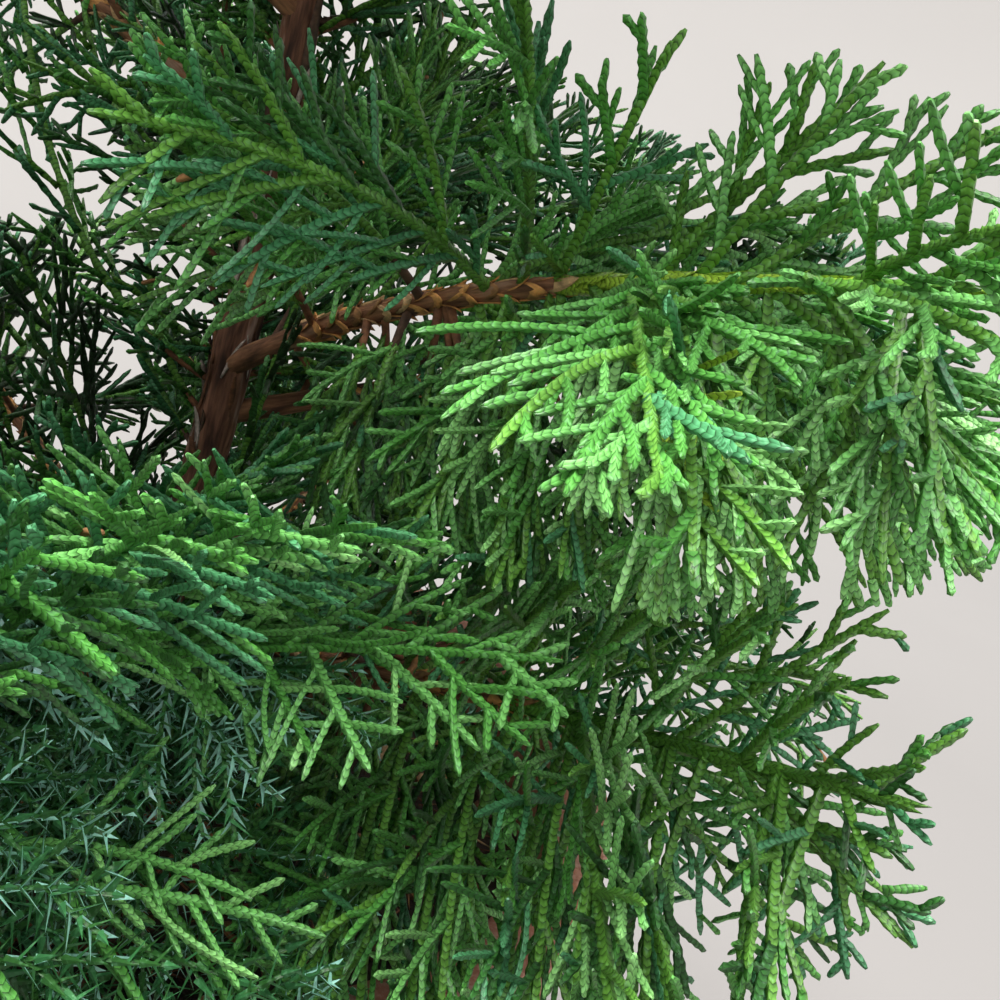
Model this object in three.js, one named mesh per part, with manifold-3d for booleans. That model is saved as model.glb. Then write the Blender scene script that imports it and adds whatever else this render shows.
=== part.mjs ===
// A juniper clipped as a spiral, growing in a round clay pot.
// Millimetres, +Z up. The origin is the centre of the pot's flat underside.
// A bare trunk stands in the soil, and a ribbon of foliage climbs round it like a ramp.
// The ribbon is a row of sprays, each on a bough of its own, and a tuft ends the trunk.
// Heights on the plant are measured up from the soil.
import * as THREE from "three";
import { mergeVertices } from "three/addons/utils/BufferGeometryUtils.js";
import Module from "manifold-3d";

const wasm = await Module();
wasm.setup();

const { degToRad, lerp } = THREE.MathUtils;

// The clay pot and its filling
const POT_HEIGHT = 250;
const POT_RIM_RADIUS = 150;
const POT_FOOT_RADIUS = 104;
const POT_WALL = 11;
const POT_FLOOR = 15;
const POT_BAND_HEIGHT = 40;
const POT_BAND_STEP = 7;
const POT_BAND_SLOPE = 3;
const POT_EDGE = 3;
const POT_SIDES = 40;
const SOIL_BELOW_RIM = 22;
const SOIL_FLAT_RADIUS = 22;
const SOIL_DIP = 5;
const SOIL_RINGS = [0.85, 0.6, 0.36];
const GAP = 0.3;

// The trunk
const PLANT_HEIGHT = 680;
const TRUNK_HEIGHT = 612;
const TRUNK_FOOT_RADIUS = 6.4;
const TRUNK_TIP_RADIUS = 1.5;
const FLARE = 5;
const FLARE_HEIGHT = 13;
const SWAY = 7;
const SWAY_LENGTH = 300;
const SWAY_LENGTH_BACK = 430;
const TRUNK_SIDES = 12;
const TRUNK_STEPS = 22;
const TRUNK_CROWDING = 1.5;

// The ribbon climbs anticlockwise, seen from above, from its first spray
const RIBBON_SPRAYS = 15;
const SECTOR = degToRad(71);
const RIBBON_ANGLE = degToRad(18);
const RIBBON_START = 152;
const RIBBON_PITCH = 178;
const RIBBON_CLOSING = 8;
const RIBBON_HALF_LOW = 56;
const RIBBON_HALF_HIGH = 38;
const RIBBON_TILT = 0.16;
const CROWN_RADIUS = 196;
const CROWN_HEIGHT = 715;
const CROWN_POWER = 2.2;

// The skirt of sprays low over the pot, which runs on round to the front
const SKIRT_SPRAYS = 4;
const SKIRT_ANGLE = degToRad(15);
const SKIRT_SECTOR = degToRad(64.6);
const SKIRT_START = 60;
const SKIRT_CLIMB = 10.6;
const SKIRT_HALF = 33;
const SKIRT_SWELL = 7.5;
const SKIRT_TILT = 0.12;

// Three sprays at the front: one low in the skirt, and one over another beside it
const FRONT_SPRAYS = [
  { angle: degToRad(270.6), halfAngle: degToRad(29.4), middle: 80, half: 58, tilt: 0.15, start: 30 },
  { angle: degToRad(321.3), halfAngle: degToRad(21.3), middle: 90, half: 50, tilt: 0.35, start: 38 },
  { angle: degToRad(312), halfAngle: degToRad(22), middle: 180, half: 37, tilt: 0.2, start: 121 },
];

// The space of one spray: a rounded section, as shares of the crown's radius
const SECTION_CENTRE = 0.69;
const SECTION_REACH = 0.42;
const SECTION_POWER = 2.6;
const LOWEST_IN_POT = 8;
const LOWEST_OVER_RIM = 27;
const POT_MOUTH = 116;

// Boughs, and the stem that leads on from each bough's tip
const BOUGH_RADIUS = 3.3;
const BOUGH_TIP_RADIUS = 2.3;
const BOUGH_TO_TRUNK = 0.72;
const BOUGH_SIDES = 6;
const BOUGH_STEPS = 4;
const BOUGH_SHARE = 0.37;
const BOUGH_DROP = 0.24;
const BOUGH_DROP_LOW = 0.4;
const BOUGH_ELBOW = 0.5;
const STEM_REACH = 1.08;
const STEM_TIP_RADIUS = 0.8;
const STEM_BEND = 0.1;

// The dense middle of each clipped spray, as shares of its space
const CORE_ALONG = 0.84;
const CORE_ACROSS = 0.58;
const CORE_OVER = 0.5;
const CORE_ROUND = 0.8;
const CORE_ROUGHNESS = 0.22;

// Shoots on the stem: flat, toothed blades that stand out of the dense middle
const SHOOTS = 9;
const SHOOTS_HIGH = 6;
const SHOOT_OPENING = 1.3;
const SHOOT_CLOSING = 0.75;
const SHOOT_SHORTEST = 0.2;
const SHOOT_SHRINK = 0.93;
const SHOOT_TWIST = 1.4;
const SHOOT_STALK = 1;
const SHOOT_THICKNESS = 1.8;
const SHOOT_HEAD_LENGTH = 0.4;
const SHOOT_HEAD_WIDTH = 0.23;
const SHOOT_TEETH = [
  [0.42, 1],
  [0.46, 0.36],
  [0.78, 0.62],
];
const GOLDEN_ANGLE = 2.39996;
const SEED = 7919;

// The tuft at the tip
const TUFT_SHOOTS = 6;
const TUFT_REACH = 90;
const TUFT_STEM_TIP_RADIUS = 0.5;

const SOIL_Z = POT_HEIGHT - SOIL_BELOW_RIM;
const UP = new THREE.Vector3(0, 0, 1);

/** A repeatable number from 0 to 1 for a set of whole-number keys. */
function chance(...keys) {
  let state = SEED;
  for (const key of keys) {
    state = ((state + key + 1) * 48271) % 2147483647;
    state = (state * 16807) % 2147483647;
  }
  return state / 2147483647;
}

/** A closed geometry as a solid. */
function solidOf(geometry) {
  const bare = geometry.clone();
  bare.deleteAttribute("normal");
  bare.deleteAttribute("uv");
  const merged = mergeVertices(bare, 1e-4);
  return new wasm.Manifold(
    new wasm.Mesh({
      numProp: 3,
      vertProperties: new Float32Array(merged.attributes.position.array),
      triVerts: new Uint32Array(merged.index.array),
    }),
  );
}

/** A named mesh from a solid. */
function meshOf(solid, name, material) {
  const { vertProperties, triVerts } = solid.getMesh();
  const geometry = new THREE.BufferGeometry();
  geometry.setAttribute("position", new THREE.BufferAttribute(vertProperties, 3));
  geometry.setIndex(new THREE.BufferAttribute(triVerts, 1));
  geometry.computeVertexNormals();
  const mesh = new THREE.Mesh(geometry, material);
  mesh.name = name;
  return mesh;
}

/** A tapering limb: a many-sided cylinder bent along a curve. */
function limb(curve, radiusAt, sides, steps) {
  const geometry = new THREE.CylinderGeometry(1, 1, 1, sides, steps);
  const position = geometry.attributes.position;
  const across = Math.abs(curve.getTangent(0).z) < 0.9 ? UP : new THREE.Vector3(1, 0, 0);
  for (let i = 0; i < position.count; i++) {
    const along = position.getY(i) + 0.5;
    const tangent = curve.getTangent(along);
    const side = new THREE.Vector3().crossVectors(tangent, across).normalize();
    const other = new THREE.Vector3().crossVectors(side, tangent);
    const point = curve.getPoint(along);
    point.addScaledVector(side, position.getX(i) * radiusAt(along));
    point.addScaledVector(other, position.getZ(i) * radiusAt(along));
    position.setXYZ(i, point.x, point.y, point.z);
  }
  return solidOf(geometry);
}

/** The trunk's centre at a height. */
function trunkPoint(height) {
  const sway = (length) => 0.5 * SWAY * (1 - Math.cos((2 * Math.PI * height) / length));
  return new THREE.Vector3(sway(SWAY_LENGTH), -sway(SWAY_LENGTH_BACK), SOIL_Z + height);
}

/** The trunk's radius at a height, with the flare at its foot. */
function trunkRadius(height) {
  const taper = lerp(TRUNK_FOOT_RADIUS, TRUNK_TIP_RADIUS, height / TRUNK_HEIGHT);
  return taper + FLARE * Math.exp(-height / FLARE_HEIGHT);
}

/** Heights along the trunk lie closer together in the flare. */
function trunkHeightAt(along) {
  return GAP + (TRUNK_HEIGHT - GAP) * along ** TRUNK_CROWDING;
}

class TrunkCurve extends THREE.Curve {
  getPoint(along, target = new THREE.Vector3()) {
    return target.copy(trunkPoint(trunkHeightAt(along)));
  }
}

function trunkSolid(grown = 0) {
  const radiusAt = (along) => trunkRadius(trunkHeightAt(along)) + grown;
  return limb(new TrunkCurve(), radiusAt, TRUNK_SIDES, TRUNK_STEPS);
}

/** The crown's radius at a height. */
function crownRadius(height) {
  return CROWN_RADIUS * (1 - (height / CROWN_HEIGHT) ** CROWN_POWER);
}

/** Where each spray lies: its angle, its middle height, its thickness and its bough's start. */
function sprayList() {
  const skirt = Array.from({ length: SKIRT_SPRAYS }, (_, step) => ({
    angle: SKIRT_ANGLE + step * SKIRT_SECTOR,
    halfAngle: SKIRT_SECTOR / 2,
    middle: SKIRT_START + SKIRT_CLIMB * step,
    half: SKIRT_HALF + SKIRT_SWELL * step,
    tilt: SKIRT_TILT,
    start: BOUGH_DROP_LOW * (SKIRT_START + SKIRT_CLIMB * step),
  }));
  const low = [...skirt, ...FRONT_SPRAYS].map((spray) => ({ ...spray, climb: 0, rank: 0 }));
  const ribbon = Array.from({ length: RIBBON_SPRAYS }, (_, step) => {
    const turns = (step * SECTOR) / (2 * Math.PI);
    const rank = step / (RIBBON_SPRAYS - 1);
    const middle = RIBBON_START + RIBBON_PITCH * turns - RIBBON_CLOSING * turns ** 2;
    return {
      angle: RIBBON_ANGLE + step * SECTOR,
      halfAngle: SECTOR / 2,
      middle,
      half: lerp(RIBBON_HALF_LOW, RIBBON_HALF_HIGH, rank),
      tilt: RIBBON_TILT,
      start: middle - BOUGH_DROP * crownRadius(middle),
      climb: (RIBBON_PITCH - 2 * RIBBON_CLOSING * turns) / (2 * Math.PI),
      rank,
    };
  });
  return [...low, ...ribbon].map((spray, index) => ({ ...spray, index, reach: crownRadius(spray.middle) }));
}

/** The height of a spray's middle at a distance from the trunk and a turn off its own angle. */
function middleAt(spray, radial, off = 0) {
  return spray.middle + spray.climb * off + spray.tilt * (radial - SECTION_CENTRE * spray.reach);
}

/** The arc of a bough and of the stem that leads on from it, out from the trunk. */
class StemCurve extends THREE.Curve {
  constructor(spray, from, to) {
    super();
    Object.assign(this, { spray, from, to });
  }

  getPoint(along, target = new THREE.Vector3()) {
    const { index, reach, start, angle } = this.spray;
    const t = lerp(this.from, this.to, along);
    const weights = [(1 - t) ** 2, 2 * t * (1 - t), t * t];
    const elbow = BOUGH_ELBOW * reach;
    const tip = STEM_REACH * reach;
    const radial = weights[1] * elbow + weights[2] * tip;
    const height =
      weights[0] * start +
      weights[1] * middleAt(this.spray, elbow) +
      weights[2] * middleAt(this.spray, tip);
    const turn = angle + STEM_BEND * (2 * chance(index, 1) - 1) * weights[2];
    const root = trunkPoint(start);
    return target.set(
      root.x * weights[0] + radial * Math.cos(turn),
      root.y * weights[0] + radial * Math.sin(turn),
      SOIL_Z + height,
    );
  }
}

/** Whether a point lies in the space of one spray, by a margin. */
function inSpace(spray, point, margin) {
  const radial = Math.hypot(point.x, point.y);
  const height = point.z - SOIL_Z;
  let off = Math.atan2(point.y, point.x) - spray.angle;
  off -= 2 * Math.PI * Math.round(off / (2 * Math.PI));
  if ((spray.halfAngle - Math.abs(off)) * radial < margin) return false;
  if (height < (radial < POT_MOUTH ? LOWEST_IN_POT : LOWEST_OVER_RIM) + margin) return false;
  const across = Math.abs(radial / spray.reach - SECTION_CENTRE) / (SECTION_REACH - margin / spray.reach);
  const over = Math.abs(height - middleAt(spray, radial, off)) / (spray.half - margin);
  return across ** SECTION_POWER + over ** SECTION_POWER < 1;
}

/** The corners of a flat shoot: a thin stalk, then a head with teeth on both sides. */
function shootOutline(length, reach) {
  const head = Math.min(length, SHOOT_HEAD_LENGTH * reach);
  const wide = 0.5 * SHOOT_HEAD_WIDTH * (head / SHOOT_HEAD_LENGTH);
  const left = SHOOT_TEETH.map(([along, across]) => [length - head + along * head, across * wide]);
  const right = left.map(([along, across]) => [along, -across]).reverse();
  return [[0, SHOOT_STALK], ...left, [length, 0], ...right, [0, -SHOOT_STALK]];
}

/** A flat shoot from a root, in the plane of its direction and its side. */
function shootSolid(root, direction, side, length, reach) {
  const corners = shootOutline(length, reach).map(([along, across]) => new THREE.Vector2(along, across));
  const geometry = new THREE.ExtrudeGeometry(new THREE.Shape(corners), {
    depth: SHOOT_THICKNESS,
    bevelEnabled: false,
  });
  geometry.translate(0, 0, -SHOOT_THICKNESS / 2);
  const normal = new THREE.Vector3().crossVectors(direction, side);
  geometry.applyMatrix4(new THREE.Matrix4().makeBasis(direction, side, normal).setPosition(root));
  return solidOf(geometry);
}

/** The longest flat shoot that stays in a spray's space, or nothing if that is too short. */
function fittedLength(spray, root, direction, side) {
  const shortest = SHOOT_SHORTEST * spray.reach;
  for (let length = spray.reach; length > shortest; length *= SHOOT_SHRINK) {
    const heads = shootOutline(length, spray.reach).slice(1, -1);
    const fits = heads.every(([along, across]) => {
      const point = root.clone().addScaledVector(direction, along);
      return inSpace(spray, point.addScaledVector(side, across), SHOOT_THICKNESS);
    });
    if (fits) return length;
  }
  return 0;
}

/** The dense middle of a spray: a rounded lump that follows the ribbon's bend and climb. */
function coreSolid(spray) {
  const geometry = new THREE.IcosahedronGeometry(1, 1);
  const merged = mergeVertices(geometry.deleteAttribute("normal").deleteAttribute("uv"), 1e-4);
  const position = merged.attributes.position;
  const rounded = (share) => Math.sign(share) * Math.abs(share) ** CORE_ROUND;
  for (let i = 0; i < position.count; i++) {
    const swell = 1 - CORE_ROUGHNESS * chance(spray.index, i, 5);
    const across = rounded(position.getX(i)) * swell * CORE_ACROSS * SECTION_REACH;
    const off = rounded(position.getY(i)) * swell * CORE_ALONG * spray.halfAngle;
    const over = rounded(position.getZ(i)) * swell * CORE_OVER * spray.half;
    const radial = (SECTION_CENTRE + across) * spray.reach;
    const height = middleAt(spray, radial, off) + over;
    const turn = spray.angle + off;
    position.setXYZ(i, radial * Math.cos(turn), radial * Math.sin(turn), SOIL_Z + height);
  }
  return solidOf(merged);
}

/** One mass of foliage: a stem, the dense middle round it and the shoots that stand out. */
function spraySolid(spray) {
  const whole = new StemCurve(spray, BOUGH_SHARE, 1);
  const start = lerp(BOUGH_SHARE, 1, GAP / whole.getLength());
  const stem = new StemCurve(spray, start, 1);
  const thick = 0.9 * boughTipRadius(spray);
  let solid = limb(stem, (along) => lerp(thick, STEM_TIP_RADIUS, along), 4, 3).add(coreSolid(spray));
  const shoots = Math.round(lerp(SHOOTS, SHOOTS_HIGH, spray.rank));
  for (let j = 0; j < shoots; j++) {
    const along = 0.12 + (0.8 * j) / (shoots - 1);
    const root = stem.getPoint(along);
    const forward = stem.getTangent(along);
    const level = new THREE.Vector3().crossVectors(forward, UP).normalize();
    const over = new THREE.Vector3().crossVectors(level, forward);
    const roll = GOLDEN_ANGLE * j + 0.6 * chance(spray.index, j, 2);
    const opening = SHOOT_OPENING - SHOOT_CLOSING * along + 0.2 * (chance(spray.index, j, 3) - 0.5);
    const out = level.multiplyScalar(Math.cos(roll)).addScaledVector(over, Math.sin(roll));
    const direction = forward.multiplyScalar(Math.cos(opening)).addScaledVector(out, Math.sin(opening));
    const side = new THREE.Vector3().crossVectors(direction, out).normalize();
    side.applyAxisAngle(direction, SHOOT_TWIST * (chance(spray.index, j, 4) - 0.5));
    const length = fittedLength(spray, root, direction, side);
    if (length) solid = solid.add(shootSolid(root, direction, side, length, spray.reach));
  }
  return solid;
}

/** The tuft that ends the trunk. */
function tuftSolid() {
  const foot = trunkPoint(TRUNK_HEIGHT + GAP);
  const top = foot.clone().setZ(SOIL_Z + PLANT_HEIGHT);
  const stem = new THREE.LineCurve3(foot, top);
  let solid = limb(stem, (along) => lerp(TRUNK_TIP_RADIUS, TUFT_STEM_TIP_RADIUS, along), 4, 2);
  for (let j = 0; j < TUFT_SHOOTS; j++) {
    const along = 0.08 + (0.74 * j) / TUFT_SHOOTS;
    const roll = GOLDEN_ANGLE * j;
    const opening = 0.95 - 0.55 * along;
    const out = new THREE.Vector3(Math.cos(roll), Math.sin(roll), 0);
    const direction = out.clone().multiplyScalar(Math.sin(opening)).addScaledVector(UP, Math.cos(opening));
    const side = new THREE.Vector3().crossVectors(direction, out).normalize();
    const length = (top.z - foot.z) * (0.72 - 0.4 * along);
    solid = solid.add(shootSolid(stem.getPoint(along), direction, side, length, TUFT_REACH));
  }
  return solid;
}

function boughRootRadius(spray) {
  return Math.min(BOUGH_RADIUS, BOUGH_TO_TRUNK * trunkRadius(spray.start));
}

function boughTipRadius(spray) {
  return (boughRootRadius(spray) * BOUGH_TIP_RADIUS) / BOUGH_RADIUS;
}

/** One bough, from the trunk's bark to the tip that its spray leads on from. */
function boughSolid(spray, trunkWithGap) {
  const radiusAt = (along) => lerp(boughRootRadius(spray), boughTipRadius(spray), along);
  return limb(new StemCurve(spray, 0, BOUGH_SHARE), radiusAt, BOUGH_SIDES, BOUGH_STEPS).subtract(trunkWithGap);
}

/** A solid turned round the Z axis from a profile of radius and height. */
function turned(profile) {
  const geometry = new THREE.LatheGeometry(profile.map(([r, z]) => new THREE.Vector2(r, z)), POT_SIDES);
  geometry.rotateX(Math.PI / 2);
  return geometry;
}

/** The radius inside the pot at a height above its underside. */
function potInnerRadius(z) {
  const foot = POT_FOOT_RADIUS - POT_WALL;
  const mouth = POT_RIM_RADIUS - POT_BAND_STEP - POT_WALL;
  return lerp(foot, mouth, (z - POT_FLOOR) / (POT_HEIGHT - POT_FLOOR));
}

/** The clay pot: a tapering wall with a raised band round its mouth. */
function potSolid() {
  const bandFoot = POT_HEIGHT - POT_BAND_HEIGHT;
  const underBand = lerp(POT_FOOT_RADIUS, POT_RIM_RADIUS - POT_BAND_STEP, bandFoot / POT_HEIGHT);
  const profile = [
    [0, 0],
    [POT_FOOT_RADIUS - POT_EDGE, 0],
    [POT_FOOT_RADIUS, POT_EDGE],
    [underBand, bandFoot - POT_EDGE],
    [POT_RIM_RADIUS - POT_BAND_SLOPE, bandFoot],
    [POT_RIM_RADIUS, POT_HEIGHT - POT_EDGE],
    [POT_RIM_RADIUS - POT_EDGE, POT_HEIGHT],
    [potInnerRadius(POT_HEIGHT) + POT_EDGE, POT_HEIGHT],
    [potInnerRadius(POT_HEIGHT - POT_EDGE), POT_HEIGHT - POT_EDGE],
    [potInnerRadius(POT_FLOOR), POT_FLOOR],
    [0, POT_FLOOR],
  ];
  return solidOf(turned(profile));
}

/** The soil that fills the pot, flat round the trunk and a little uneven further out. */
function soilSolid() {
  const foot = POT_FLOOR + GAP;
  const edge = potInnerRadius(SOIL_Z - SOIL_DIP) - GAP;
  const profile = [[0, foot], [potInnerRadius(foot) - GAP, foot], [edge, SOIL_Z]];
  SOIL_RINGS.forEach((share) => profile.push([edge * share, SOIL_Z]));
  profile.push([SOIL_FLAT_RADIUS, SOIL_Z], [0, SOIL_Z]);
  const geometry = turned(profile);
  const position = geometry.attributes.position;
  for (let i = 0; i < position.count; i++) {
    const x = position.getX(i);
    const y = position.getY(i);
    if (position.getZ(i) < SOIL_Z - 1 || Math.hypot(x, y) < SOIL_FLAT_RADIUS + 1) continue;
    const wave = 0.5 + 0.25 * Math.sin(x / 23 + 1.3) + 0.25 * Math.cos(y / 19 - 0.4);
    position.setZ(i, SOIL_Z - SOIL_DIP * wave);
  }
  return solidOf(geometry);
}

const finish = {
  clay: new THREE.MeshStandardMaterial({ color: 0xa8593c, roughness: 0.9, metalness: 0 }),
  soil: new THREE.MeshStandardMaterial({ color: 0x33241a, roughness: 1, metalness: 0 }),
  bark: new THREE.MeshStandardMaterial({ color: 0x7a4630, roughness: 0.85, metalness: 0 }),
  foliage: new THREE.MeshStandardMaterial({ color: 0x1f6b35, roughness: 0.6, metalness: 0 }),
};

const topiary = new THREE.Group();
topiary.add(meshOf(potSolid(), "pot", finish.clay));
topiary.add(meshOf(soilSolid(), "soil", finish.soil));
topiary.add(meshOf(trunkSolid(), "trunk", finish.bark));

const trunkWithGap = trunkSolid(GAP);
for (const spray of sprayList()) {
  const number = String(spray.index + 1).padStart(2, "0");
  topiary.add(meshOf(boughSolid(spray, trunkWithGap), `bough_${number}`, finish.bark));
  topiary.add(meshOf(spraySolid(spray), `foliage_${number}`, finish.foliage));
}
topiary.add(meshOf(tuftSolid(), "foliage_top", finish.foliage));

export default topiary;
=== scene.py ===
"""Looks of a young juniper that is clipped as a spiral and grows in a clay pot.

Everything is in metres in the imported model's frame, with +Z up and the origin under the pot.
Heights on the plant are measured up from the soil, as they are in the part's own source.
"""

import logging
import math
from dataclasses import dataclass, field
from enum import Enum
from typing import Callable, Sequence

import bpy
import numpy as np
from mathutils import Matrix, Vector, noise


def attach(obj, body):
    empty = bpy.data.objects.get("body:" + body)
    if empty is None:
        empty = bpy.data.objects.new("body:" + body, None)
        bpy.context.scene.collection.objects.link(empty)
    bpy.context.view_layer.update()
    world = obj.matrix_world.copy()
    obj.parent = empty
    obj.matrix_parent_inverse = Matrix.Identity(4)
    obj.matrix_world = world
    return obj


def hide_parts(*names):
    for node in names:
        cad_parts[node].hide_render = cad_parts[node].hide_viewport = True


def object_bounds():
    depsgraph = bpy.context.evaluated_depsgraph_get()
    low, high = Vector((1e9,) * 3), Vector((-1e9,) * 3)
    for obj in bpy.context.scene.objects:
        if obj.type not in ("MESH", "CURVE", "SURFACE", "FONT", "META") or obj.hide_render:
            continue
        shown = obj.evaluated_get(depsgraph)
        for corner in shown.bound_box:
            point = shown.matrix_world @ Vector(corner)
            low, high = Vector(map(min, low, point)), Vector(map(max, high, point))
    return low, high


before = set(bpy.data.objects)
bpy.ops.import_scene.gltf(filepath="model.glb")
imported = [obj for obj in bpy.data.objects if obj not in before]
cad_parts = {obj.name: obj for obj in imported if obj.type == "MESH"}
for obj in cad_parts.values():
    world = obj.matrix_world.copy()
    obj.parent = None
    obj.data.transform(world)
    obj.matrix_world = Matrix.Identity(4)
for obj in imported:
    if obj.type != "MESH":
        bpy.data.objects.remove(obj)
CAD_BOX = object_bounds()
log = logging.getLogger("topiary")

ROOT = "root"
SEED = 7919
GOLDEN_ANGLE = 2.39996
UP = np.array([0.0, 0.0, 1.0])
MM = 0.001

# Sizes that the source of the solids also holds
POT_HEIGHT = 250 * MM
POT_RIM_RADIUS = 150 * MM
POT_FOOT_RADIUS = 104 * MM
POT_FLOOR = 15 * MM
POT_BAND_HEIGHT = 40 * MM
POT_BAND_STEP = 7 * MM
POT_BAND_SLOPE = 3 * MM
SOIL_Z = 228 * MM
SOIL_DIP = 5 * MM
TRUNK_HEIGHT = 612 * MM
PLANT_HEIGHT = 680 * MM
CROWN_RADIUS = 196 * MM
CROWN_HEIGHT = 715 * MM
CROWN_POWER = 2.2
RIBBON_SPRAYS = 15
RIBBON_TURN = 71
SKIRT_SPRAYS = 4
SKIRT_TURN = 64.6
SECTION_CENTRE = 0.69
SECTION_REACH = 0.42
SECTION_POWER = 2.6
BOUGH_SHARE = 0.37
STEM_REACH = 1.08
SHOOTS = 9
SHOOTS_HIGH = 6

# The share of a stem's arc where its bark gives way to green scale leaves
GREEN_FROM = 0.64
GREEN_TIP = 1.1 * MM

# The length of one scale leaf on a cord
SCALE_LENGTH = 1.35 * MM

# How far the sprays of neighbouring masses pass into each other, where the solids keep apart
MINGLE = math.radians(8)

# How far leaves may stand out of the box round all the solids
OVERHANG = 3 * MM

# The side of the crown that is modelled most finely faces this place, from which this way leads to it
NEAR_PLACE = np.array([88 * MM, -290 * MM, SOIL_Z + 190 * MM])
NEAR_DOWN = math.radians(16.0)
NEAR_WAY = np.array([0.0, math.cos(NEAR_DOWN), -math.sin(NEAR_DOWN)])
LOW_HEIGHT = 104 * MM

# The cosine of the widest angle to that way, and the distances, within which twigs are made finer
NEAR_SPREAD = 0.81
CLOSE_RANGE = 235 * MM
MIDDLE_RANGE = 430 * MM

# The masses' leaves stay the first height over the soil, and the last one further out than the
# middle one, where they clear the pot's rim
SOIL_CLEARANCE = 8 * MM
RIM_INSIDE = 116 * MM
RIM_CLEARANCE = 27 * MM

# How high the litter lies over the soil
LITTER_TOP = 5 * MM

# Cords take the next lighter leaf tone below the first of these draws, and dry out above the second
LIGHTER_BELOW = 0.2
DRIED_ABOVE = 0.994


class Tone(Enum):
    """The base colours of leaves, needles, stems and litter, the seven leaf tones first."""

    SHADE = (0.012, 0.046, 0.010)
    DEEP = (0.036, 0.138, 0.029)
    BLUISH = (0.073, 0.280, 0.118)
    MID = (0.092, 0.322, 0.056)
    FRESH = (0.160, 0.450, 0.112)
    BRIGHT = (0.240, 0.550, 0.168)
    LIME = (0.430, 0.660, 0.068)
    OLIVE = (0.122, 0.315, 0.044)
    NEEDLE = (0.052, 0.215, 0.070)
    BLOOM = (0.470, 0.950, 0.800)
    DRIED = (0.330, 0.160, 0.062)
    RUST = (0.170, 0.070, 0.032)
    TAN = (0.560, 0.360, 0.180)
    AMBER = (0.620, 0.300, 0.095)
    TWIG = (0.085, 0.045, 0.028)
    SILVER = (0.400, 0.330, 0.290)


TONES = list(Tone)

# The tones of what grows green, ahead of those of dead scales, wood and litter
LIVE_TONES = TONES[: TONES.index(Tone.DRIED)]


def slot_of(tone: Tone) -> int:
    """The tone's place in the list of all tones."""
    return TONES.index(tone)


class Character(Enum):
    """What the sprays of a mass are mostly like, as shares of the leaf tones in their order."""

    SHADED = (0.20, 0.32, 0.16, 0.22, 0.08, 0.02, 0.00)
    BLUISH = (0.05, 0.17, 0.36, 0.20, 0.16, 0.06, 0.00)
    GREEN = (0.12, 0.24, 0.12, 0.28, 0.17, 0.07, 0.00)
    SUNNY = (0.02, 0.10, 0.08, 0.26, 0.31, 0.22, 0.008)


class Detail(Enum):
    """How finely a twig is made: sides, ring spacing and how far the rings swell in turn."""

    CLOSE = (4, 1.2 * MM, 0.15)
    MIDDLE = (3, 2.4 * MM, 0.16)
    AWAY = (3, 6.0 * MM, 0.0)


def chance(*keys: int) -> float:
    """A repeatable number from 0 to 1, the same as the source of the solids deals.

    Args:
        keys: Whole numbers that name what the number is for.

    Returns:
        A number from 0 to 1.
    """
    period = 2147483647
    state = SEED
    for key in keys:
        state = ((state + key + 1) * 48271) % period
        state = (state * 16807) % period
    return state / period


def unit(vectors: np.ndarray) -> np.ndarray:
    """The same vectors at length one, along the last axis."""
    return vectors / np.maximum(np.linalg.norm(vectors, axis=-1, keepdims=True), 1e-12)


def dotted(first: np.ndarray, second: np.ndarray) -> np.ndarray:
    """Dot products along the last axis, kept as columns."""
    return (first * second).sum(-1, keepdims=True)


def square_to(vectors: np.ndarray, axis: np.ndarray) -> np.ndarray:
    """The vectors without what they have along an axis of length one."""
    return vectors - axis * dotted(vectors, axis)


def turned(start: np.ndarray, end: np.ndarray, angle: np.ndarray) -> np.ndarray:
    """Directions turned by an angle each from one lot towards another that stands square to it."""
    return start * np.cos(angle)[:, None] + end * np.sin(angle)[:, None]


def level_ways(turn: np.ndarray) -> np.ndarray:
    """Level directions at turns round the trunk."""
    return np.stack([np.cos(turn), np.sin(turn), np.zeros_like(turn)], -1)


def mixed(low: float, high: float, share: float | np.ndarray) -> float | np.ndarray:
    """A value between two others by a share."""
    return low + (high - low) * share


class Signal:
    """One output of a shader node, with arithmetic that adds Math nodes."""

    def __init__(self, graph: "Graph", socket: bpy.types.NodeSocket) -> None:
        """Wraps an output of one of the graph's nodes."""
        self.graph = graph
        self.socket = socket

    def _math(self, operation: str, first: "Signal | float", second: "Signal | float") -> "Signal":
        """Adds one Math node and gives its output."""
        return self.graph.node("ShaderNodeMath", {"operation": operation}, {0: first, 1: second})

    def __add__(self, other: "Signal | float") -> "Signal":
        """Adds."""
        return self._math("ADD", self, other)

    __radd__ = __add__

    def __sub__(self, other: "Signal | float") -> "Signal":
        """Subtracts."""
        return self._math("SUBTRACT", self, other)

    def __rsub__(self, other: float) -> "Signal":
        """Subtracts from a number."""
        return self._math("SUBTRACT", other, self)

    def __mul__(self, other: "Signal | float") -> "Signal":
        """Multiplies."""
        return self._math("MULTIPLY", self, other)

    __rmul__ = __mul__


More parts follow.
